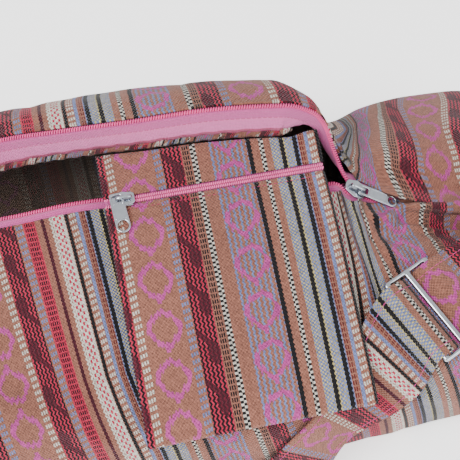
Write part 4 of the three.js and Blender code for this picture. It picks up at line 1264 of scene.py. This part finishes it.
def main_slider_place():
    """Frame of the main slider: X to the closed zip and Z outwards."""
    def middle(share):
        shares = np.array([share])
        return (section_place("coilU", shares) + section_place("coilL", shares))[0] / 2
    here = middle(MOUTH_END)
    x = unit(middle(MOUTH_END + 0.02) - here)
    sides = zip_sides(np.array([MOUTH_END]))
    up = sides["upper"][3][0] + sides["lower"][3][0]
    y = unit(np.cross(up, x))
    return here, x, y, np.cross(x, y)


MAIN_PULL_DIP = -9


def make_main_slider():
    origin, x, y, z = main_slider_place()
    slider = joined_piece("main_slider", slider_parts(MAIN_SLIDER), (origin, x, y, z), METAL)
    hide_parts("zip_slider")
    level = MAIN_SLIDER["throat"] / 2 + MAIN_SLIDER["plate"] + MAIN_PULL["wall"] / 2 + 2 * SEAT_GAP
    bar = origin + x * MAIN_SLIDER["length"] * 0.12 + z * level
    forward = turned(x, y, np.array(MAIN_PULL_DIP, float))
    place = (bar, forward, y, np.cross(forward, y))
    pull = joined_piece("main_pull", pull_parts(MAIN_PULL, True), place, METAL, "zip_pull")
    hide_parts("zip_pull")


# Pocket: rows down its middle from the band's top edge to the hem. x is the share of the
# reach below the zip, negative on the band; height is a percentage of the mouth height.
POCKET_ROWS = table(["x", "height"], [
    [-1, 84.5],
    [0, 79.5],
    [0.1, 78.2],
    [0.28, 74.6],
    [0.52, 68.4],
    [0.76, 61.8],
    [0.92, 56.4],
    [1, 52.8],
])
POCKET_ZIP_Y = 0.125 * HALF_WIDTH
POCKET_X = POCKET_MIDDLE * HALF_LENGTH
POCKET_LEFT = POCKET_X - POCKET_WIDTH / 2
POCKET_LIFT = POCKET_TAPE_WALL / 2 + SEAT_GAP / 2
POCKET_DEPTH = POCKET_SLIDER["throat"] / 2 + POCKET_SLIDER["plate"] + 2 * SEAT_GAP
POCKET_EDGE_U = -4.4
POCKET_RING_V = -9
ZIP_ROOM = 2.7


def pocket_line(reach):
    """Middle surface of the pocket at shares of its reach: places, down and out directions."""
    reach = np.asarray(reach, float)

    def place(value):
        run = np.where(value < 0, value * BAND_REACH, value * POCKET_REACH)
        height = column_at(POCKET_ROWS, "height", value) * MOUTH_HEIGHT / 100
        return np.stack([np.zeros_like(run), POCKET_ZIP_Y - run, height], -1)

    small = 0.01
    down = unit(place(np.minimum(reach + small, 1)) - place(np.maximum(reach - small, -1)))
    out = np.stack([np.zeros_like(reach), down[..., 2], -down[..., 1]], -1)
    return place(reach), down, out


def pocket_waves(x, run):
    """Uneven lie of the pocket's cloth, in millimetres, that dies out at its zip."""
    share = (x - POCKET_LEFT) / POCKET_WIDTH
    fade = np.clip(run / 40, 0, 1)
    corner = np.exp(-((share - 1) / 0.2) ** 2 - ((run - POCKET_REACH) / 22) ** 2)
    long_wave = np.sin(2 * np.pi * (share * 1.4 + run / 320)) * 0.8
    hem = 0.7 * np.sin(2 * np.pi * share * 3.2 + 1) * np.clip((run - 105) / 30, 0, 1)
    return fade * (long_wave + 0.7 * hem) + 1.6 * corner


def make_pocket():
    xs = np.linspace(POCKET_LEFT, POCKET_LEFT + POCKET_WIDTH, 92)
    start = ZIP_ROOM / POCKET_REACH
    reaches = np.concatenate([np.linspace(start, 0.97, 80), np.linspace(0.975, 1, 6)])
    place, _, out = pocket_line(reaches)
    run = reaches * POCKET_REACH
    from_side = np.minimum(xs - xs[0], xs[-1] - xs)
    side_round = np.sqrt(np.clip(1 - (1 - np.clip(from_side / 2.2, 0, 1)) ** 2, 0.02, 1))
    hem_round = np.sqrt(np.clip(1 - (1 - np.clip((POCKET_REACH - run) / 2.0, 0, 1)) ** 2, 0.02, 1))
    rounding = side_round[:, None] * hem_round[None]
    top = POCKET_LIFT + POCKET_WALL
    bottom = -(POCKET_DEPTH + (SEAT_GAP - POCKET_DEPTH) * np.minimum(1, reaches * 2.2)) - POCKET_WALL
    near_zip = np.clip((run - ZIP_ROOM) / 2, 0.3, 1)
    middle = (top + bottom) / 2
    grid_x, grid_run = np.meshgrid(xs, run, indexing="ij")
    waves = pocket_waves(grid_x, grid_run)
    over = middle + (top - middle) * rounding
    under = middle + (bottom - middle) * rounding * near_zip

    def surface(height):
        points = np.broadcast_to(place, (len(xs), len(reaches), 3)).copy()
        points[..., 0] = grid_x
        return points + out * (height + waves)[..., None]

    outer, inner = surface(over), surface(under)
    u = grid_x - POCKET_LEFT + POCKET_EDGE_U
    v = grid_run + POCKET_RING_V
    pocket = wall_piece("pocket_bag", outer[:, ::-1], inner[:, ::-1],
                        np.stack([u, v], -1)[:, ::-1], [CLOTH])
    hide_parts("pocket_front", "pocket_back")
    stitch = 2
    row = outer[2:-2, stitch] + out[stitch] * 0.1
    normals = np.broadcast_to(out[stitch], row.shape)
    return row, normals


BAND_SEWN = 3.6
BAND_RING_V = -11.3


def make_band():
    """Band between the mouth's seam roll and the pocket's zip."""
    xs = np.linspace(POCKET_LEFT, POCKET_LEFT + POCKET_WIDTH, 92)
    reaches = np.linspace(-ZIP_ROOM / BAND_REACH, -1, 12)
    place, _, out = pocket_line(reaches)
    grid_x, grid_reach = np.meshgrid(xs, reaches, indexing="ij")
    points = np.broadcast_to(place, (len(xs), len(reaches), 3)).copy()
    points[..., 0] = grid_x
    sewn = roll_middle(xs / HALF_LENGTH) + np.array([0, -BAND_SEWN, -BAND_SEWN / 4])
    tuck = (np.clip((-grid_reach - 0.25) / 0.75, 0, 1) ** 1.3)[..., None]
    points = points + (sewn[:, None] - points[:, -1:]) * tuck * np.array([0, 1, 1])
    share = (xs - POCKET_LEFT) / POCKET_WIDTH
    waves = 0.5 * np.sin(2 * np.pi * share * 3)[:, None] * -grid_reach
    outer = points + out * (POCKET_LIFT + POCKET_WALL + waves)[..., None]
    inner = points + out * (POCKET_LIFT + waves)[..., None]
    u = grid_x - POCKET_LEFT + POCKET_EDGE_U
    v = -length_along(points, 1) - ZIP_ROOM + BAND_RING_V
    band = wall_piece("pocket_top_band", outer, inner, np.stack([u, v], -1), [CLOTH])
    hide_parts("pocket_band")


POCKET_SLIDER_X = POCKET_LEFT + POCKET_SLIDER["length"] * 0.95


def make_pocket_zip():
    here, down, out = pocket_line(0.0)
    for side, word in ((-1, "upper"), (1, "lower")):
        aside = POCKET_COIL_RADIUS * 0.82
        parted = POCKET_COIL_RADIUS + POCKET_SLIDER["post"] / 2 + SEAT_GAP
        post_end = POCKET_SLIDER_X - POCKET_SLIDER["length"] * 0.25
        xs = [POCKET_LEFT + 1, post_end, post_end + 4, POCKET_SLIDER_X + 12, POCKET_LEFT + POCKET_WIDTH - 1]
        places = []
        for k, x in enumerate(xs):
            spot = here + down * side * (parted if k < 2 else aside)
            spot = spot + out * (POCKET_LIFT + POCKET_COIL_RADIUS)
            spot[0] = x
            places.append(spot)
        coil = coil_piece(f"pocket_teeth_{word}", np.array(places), POCKET_COIL_RADIUS * 0.86,
                          1.3, 0.42, PALE_COIL)
        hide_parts(f"pocket_coil_{word}")
        run_x = np.linspace(POCKET_LEFT + 1, POCKET_LEFT + POCKET_WIDTH - 1, 60)
        start = here + down * side * 0.15 + out * (POCKET_LIFT * 0.2)
        line = np.repeat(start[None], len(run_x), 0)
        line[:, 0] = run_x
        width = np.full(len(run_x), float(POCKET_TAPE_WIDTH))
        outer, inner, coordinates = tape_grid(
            line, np.repeat((down * side)[None], len(run_x), 0),
            np.repeat(out[None], len(run_x), 0), width, POCKET_TAPE_WALL, 5)
        if side < 0:
            outer, inner, coordinates = outer[:, ::-1], inner[:, ::-1], coordinates[:, ::-1]
        tape = wall_piece(f"pocket_zip_tape_{word}", outer, inner, coordinates, [TAPE])
        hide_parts(f"pocket_tape_{word}")
    return here, out


POCKET_PULL_LEAN = 4
POCKET_PULL_DIP = 5


def make_pocket_slider(here, out):
    origin = here + out * (POCKET_LIFT + POCKET_COIL_RADIUS * 0.75)
    origin[0] = POCKET_SLIDER_X
    x = np.array([1.0, 0.0, 0.0])
    y = unit(np.cross(out, x))
    z = np.cross(x, y)
    slider = joined_piece("pocket_zip_slider", slider_parts(POCKET_SLIDER), (origin, x, y, z), METAL)
    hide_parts("pocket_slider")
    level = POCKET_SLIDER["throat"] / 2 + POCKET_SLIDER["plate"] + POCKET_SLIDER["bridge_room"] / 2
    leg = origin - x * (POCKET_SLIDER["length"] * 0.4 - POCKET_SLIDER["bridge_wall"] * 0.7) + z * level
    axis = turned(z, x, np.array(POCKET_PULL_DIP, float))
    down = turned(turned(-y, x, np.array(POCKET_PULL_DIP, float)), axis, np.array(POCKET_PULL_LEAN, float))
    hold = POCKET_PULL["rail"] / 2 + POCKET_PULL["loop"] / 2
    place = (leg - down * hold, down, np.cross(axis, down), axis)
    pull = joined_piece("pocket_zip_pull", pull_parts(POCKET_PULL, True), place, METAL, "pocket_pull")
    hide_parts("pocket_pull")


# Strap: rows of its centre line from the right end to the left. share is along the bag, y and
# z are percentages of the half width and the mouth height, heading is the turn of its width
# from the X axis, bank the slope of its width and flat the percentage that isn't folded under.
GLIDE_CENTRE = (0.733, -67.5, 64.2)
GLIDE_HEADING = 24.5
GLIDE_BANK = -9
STRAP_HEAD = [
    [STRAP_END, -33, 66.6, -72, -4, 100],
    [0.925, -42, 66.6, -70, -6, 100],
    [0.860, -51, 66.0, -68, -7, 100],
]
STRAP_FOOT = [
    [0.655, -81, 54, -50, -24, 100],
    [0.600, -92.5, 44.5, -36, -36, 88],
    [0.537, -102, 35, -15, -40, 66],
    [0.500, -106.5, 26, -12, -30, 70],
    [0.462, -111, 14, -18, -18, 78],
    [0.425, -117, 5, -34, -7, 88],
    [0.375, -124, 1.2, -54, -1, 96],
    [0.300, -129.5, 0.2, -72, 0, 100],
    [0.100, -133.5, 0.2, -89, 0, 100],
    [-0.150, -133, 0.2, -91, 0, 100],
    [-0.400, -131.5, 0.2, -92, 0, 100],
    [-0.580, -129.5, 0.6, -98, 0, 100],
    [-0.680, -126.5, 5, -104, -4, 100],
    [-0.750, -119, 16, -112, -14, 96],
    [-0.800, -112.5, 31, -122, -26, 90],
    [-0.845, -102, 47, -126, -30, 88],
    [-0.885, -89.5, 55.5, -124, -27, 92],
    [-0.925, -72, 59.0, -118, -19, 100],
    [-STRAP_END, -49, 62.0, -108, -12, 100],
]


def pointing(heading, slope):
    turn, tilt = math.radians(heading), math.radians(slope)
    return np.array([math.cos(turn) * math.cos(tilt), math.sin(turn) * math.cos(tilt), math.sin(tilt)])


def glide_place():
    turn = math.radians(GLIDE_HEADING)
    rail = unit(np.array([math.cos(turn), math.sin(turn), 0.02]))
    bar = pointing(GLIDE_HEADING - 90, GLIDE_BANK)
    share, y, z = GLIDE_CENTRE
    origin = np.array([share * HALF_LENGTH, y * HALF_WIDTH / 100, z * MOUTH_HEIGHT / 100])
    up = unit(-np.cross(rail, bar))
    return origin, rail, np.cross(up, rail), up


def strap_rows():
    """Centre, width direction and width of each row, down the strap."""
    def row(share, y, z, heading, bank, flat):
        centre = np.array([share * HALF_LENGTH, y * HALF_WIDTH / 100, z * MOUTH_HEIGHT / 100])
        return centre, pointing(heading, bank), STRAP_WIDTH * flat / 100

    origin, rail, across, up = glide_place()
    over = GLIDE["wall"] / 2 + SEAT_GAP * 2
    under = -GLIDE["wall"] / 2 - SEAT_GAP * 2 - STRAP_WALL
    end_bar = GLIDE["length"] / 2 - GLIDE["bar"] / 2
    places = [
        (end_bar + 9, over * 0.3), (end_bar + 4, over), (end_bar, over * 1.08), (end_bar - 4, over * 0.7),
        (end_bar / 2, (over + under) / 2), (3.2, under), (0, under), (-3.2, under),
        (-end_bar / 2, (over + under) / 2), (4 - end_bar, over * 0.7), (-end_bar, over * 1.08),
        (-end_bar - 4, over),
    ]
    inside = [(origin + rail * run + up * height, -across, STRAP_WIDTH) for run, height in places]
    return [row(*line) for line in STRAP_HEAD], inside, [row(*line) for line in STRAP_FOOT]


def smooth_path(points, steps):
    """Centripetal curve through the points, with the given steps between each pair."""
    points = np.array(points, float)
    padded = np.concatenate([[2 * points[0] - points[1]], points, [2 * points[-1] - points[-2]]])
    result, places = [], []
    for k in range(len(points) - 1):
        p = padded[k:k + 4]
        t = np.concatenate([[0], np.cumsum(np.sqrt(np.linalg.norm(np.diff(p[:, :3], axis=0), axis=1)))])
        time = np.linspace(t[1], t[2], steps, endpoint=False)[:, None]
        one = [p[i] + (p[i + 1] - p[i]) * (time - t[i]) / (t[i + 1] - t[i]) for i in range(3)]
        two = [one[i] + (one[i + 1] - one[i]) * (time - t[i]) / (t[i + 2] - t[i]) for i in range(2)]
        result.append(two[0] + (two[1] - two[0]) * (time - t[1]) / (t[2] - t[1]))
        places.append(k + np.arange(steps) / steps)
    return np.concatenate(result + [points[-1:]]), np.concatenate(places + [[len(points) - 1]])


def clear_of_body(place, loops):
    """Distance from a place to the body's outline in its own section, negative inside."""
    share = np.clip(place[0] / HALF_LENGTH, -1, 1)
    loop = loops[int(round((share + 1) * (len(loops) - 1) / 2))][:, 1:]
    after = np.roll(loop, -1, axis=0)
    y, z = place[1], place[2]
    crosses = (loop[:, 1] > z) != (after[:, 1] > z)
    height = np.where(after[:, 1] == loop[:, 1], 1, after[:, 1] - loop[:, 1])
    at_y = loop[:, 0] + (after[:, 0] - loop[:, 0]) * (z - loop[:, 1]) / height
    inside = (crosses & (y < at_y)).sum() % 2 == 1
    step = after - loop
    size = np.maximum((step**2).sum(1), 1e-9)
    t = np.clip(((place[1:] - loop) * step).sum(1) / size, 0, 1)
    nearest = np.linalg.norm(place[1:] - loop - t[:, None] * step, axis=1).min()
    return -nearest if inside else nearest


def strap_path():
    head, inside, foot = strap_rows()
    rows = head + inside + foot
    packed = [np.concatenate([centre, [*across, width]]) for centre, across, width in rows]
    steps = 8
    path, places = smooth_path(packed, steps)
    loops = cloth_grid(np.linspace(-1, 1, 401), np.linspace(0, LAST_AROUND, 73))[0]
    glide_from, glide_to = len(head) + 1, len(head) + len(inside) - 1
    centres, across, widths = path[:, :3].copy(), unit(path[:, 3:6]), path[:, 6]
    normals = unit(np.cross(across, np.gradient(centres, axis=0)))
    normals[normals[:, 2] < 0] *= -1
    for k, at in enumerate(places):
        if glide_from <= at <= glide_to:
            continue
        for _ in range(4):
            sides = np.linspace(-0.5, 0.5, 7) * widths[k]
            gaps = [clear_of_body(centres[k] + across[k] * side, loops) for side in sides]
            short = STRAP_REST - min(gaps)
            if short > 0:
                centres[k] += normals[k] * short
    near_glide = (places > glide_from - 2) & (places < glide_to + 2)
    for _ in range(3):
        blended = centres.copy()
        blended[1:-1] = (centres[:-2] + 2 * centres[1:-1] + centres[2:]) / 4
        centres = np.where(near_glide[:, None], centres, blended)
    centres[:, 2] = np.maximum(centres[:, 2], 0.3)
    return centres, across, normals, widths


RING_PLACE = 12.6
DASH_PLACE = 12.0


def make_strap():
    """Strap with rounded edges, its stripes across it, and a stitched line along each side."""
    centres, across, normals, widths = strap_path()
    run = length_along(centres, 0)
    origin = glide_place()[0]
    at_glide = run[np.linalg.norm(centres - origin, axis=1).argmin()]
    from_glide = run - at_glide
    u_line = np.where(from_glide >= 0, 91.5 + from_glide - DASH_PLACE, 16.5 - from_glide - RING_PLACE)
    profile = np.concatenate([[-1, -0.985], np.linspace(-0.95, 0.95, 15), [0.985, 1]])
    edge = np.clip((1 - np.abs(profile)) / 0.05, 0, 1)
    thickness = STRAP_WALL * (0.3 + 0.7 * np.sqrt(1 - (1 - edge) ** 2))
    flat = centres[:, None] + across[:, None] * (profile * widths[:, None] / 2)[..., None]
    middle = normals[:, None] * STRAP_WALL / 2
    half = normals[:, None] * (thickness / 2)[:, None]
    u = np.broadcast_to(u_line[:, None], flat.shape[:2])
    v = (profile + 1) * STRAP_WIDTH / 2 + 23.2
    coordinates = np.stack([u, np.broadcast_to(v, u.shape)], -1)
    outer, inner = flat + middle + half, flat + middle - half
    strap = wall_piece("shoulder_strap", outer[:, ::-1], inner[:, ::-1], coordinates[:, ::-1], [CLOTH])
    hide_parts("strap")
    rows = []
    for share in (-0.78, 0.78):
        line = centres + across * (share * widths / 2)[:, None] + normals * (STRAP_WALL + 0.05)
        rows.append((line, normals))
    share = np.linspace(-0.9, 0.9, 30)[:, None]
    for k in (3, -4):
        lift = normals[k] * (STRAP_WALL + 0.05)
        line = centres[k] + across[k] * share * widths[k] / 2 + lift
        rows.append((line, np.broadcast_to(normals[k], line.shape)))
    stitches = stitch_piece("strap_stitches", rows, PINK_THREAD, 3.2, 0.5, 0.2)


def make_glide():
    inner = STRAP_WIDTH / 2 + GLIDE["play"]
    half_x, half_y = GLIDE["length"] / 2, inner + GLIDE["side"]
    bar = GLIDE["bar"]
    edge = rounded_box(-half_x, -half_y, half_x, half_y, GLIDE["corner"])
    slots = [rounded_box(bar / 2, -inner, half_x - bar, inner, 0.7),
             rounded_box(bar - half_x, -inner, -bar / 2, inner, 0.7)]
    parts = [outline_mesh("glide", [edge] + slots, GLIDE["wall"], 1.0)]
    glide = joined_piece("strap_glide", parts, glide_place(), METAL)
    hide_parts("tri_glide")


# Seam that shows below the pocket's zip
def make_seam(row):
    seam = stitch_piece("pocket_topstitch", [row], POCKET_THREAD, 2.2, 1.1, 0.2)


# Stage, light and camera
CAMERA_AZIMUTH, CAMERA_RISE, CAMERA_DISTANCE = -12, 58, 650
CAMERA_TARGET = np.array([150, -15, 128])
FIELD_OF_VIEW = 22.9


def make_camera():
    turn, rise = math.radians(CAMERA_AZIMUTH), math.radians(CAMERA_RISE)
    back = Vector((math.sin(turn) * math.cos(rise), -math.cos(turn) * math.cos(rise), math.sin(rise)))
    camera = add_object("camera", bpy.data.cameras.new("camera"))
    target = Vector((CAMERA_TARGET + ROW_ORIGIN) * MM)
    camera.location = target + back * CAMERA_DISTANCE * MM
    camera.rotation_euler = (-back).to_track_quat("-Z", "Y").to_euler()
    camera.data.angle = math.radians(FIELD_OF_VIEW)
    camera.data.clip_start = 0.01
    bpy.context.scene.camera = camera


def make_floor():
    material, n, shader = new_material("pale floor")
    n.feed(shader.inputs["Base Color"],
           n.ramp(n.clouds(3.0), [(0.0, (0.95, 0.95, 0.95, 1)), (1.0, (0.98, 0.98, 0.98, 1))], "LINEAR"))
    shader.inputs["Roughness"].default_value = 0.9
    shader.inputs["Emission Color"].default_value = (1, 1, 1, 1)
    shader.inputs["Emission Strength"].default_value = 1.2
    mesh = bpy.data.meshes.new("floor")
    size = 6.0
    corners = [(-size, -size, 0), (size, -size, 0), (size, size, 0), (-size, size, 0)]
    mesh.from_pydata(corners, [], [(0, 1, 2, 3)])
    mesh.materials.append(material)
    floor = add_object("floor", mesh)


def area_light(name, place, target, size, power):
    light = bpy.data.lights.new(name, "AREA")
    light.size = size
    light.energy = power
    holder = add_object(name, light)
    holder.location = place
    holder.rotation_euler = (Vector(target) - Vector(place)).to_track_quat("-Z", "Y").to_euler()


def make_light():
    world = bpy.data.worlds.new("studio")
    world.use_nodes = True
    world.node_tree.nodes["Background"].inputs[0].default_value = (1, 1, 1, 1)
    world.node_tree.nodes["Background"].inputs[1].default_value = 1.0
    bpy.context.scene.world = world
    area_light("key", (-0.55, -0.45, 1.3), (0.12, 0, 0.08), 0.7, 22)
    area_light("fill", (0.9, -0.9, 1.1), (0.15, 0, 0.08), 1.0, 8)


make_camera()
make_floor()
make_light()
make_body()
make_end("end_cloth_left", -1, "end_left")
make_end("end_cloth_right", 1, "end_right")
make_main_zip()
make_seam_roll()
make_seam_flap()
make_main_slider()
pocket_row = make_pocket()
make_band()
zip_here, zip_out = make_pocket_zip()
make_pocket_slider(zip_here, zip_out)
make_strap()
make_glide()
make_seam(pocket_row)
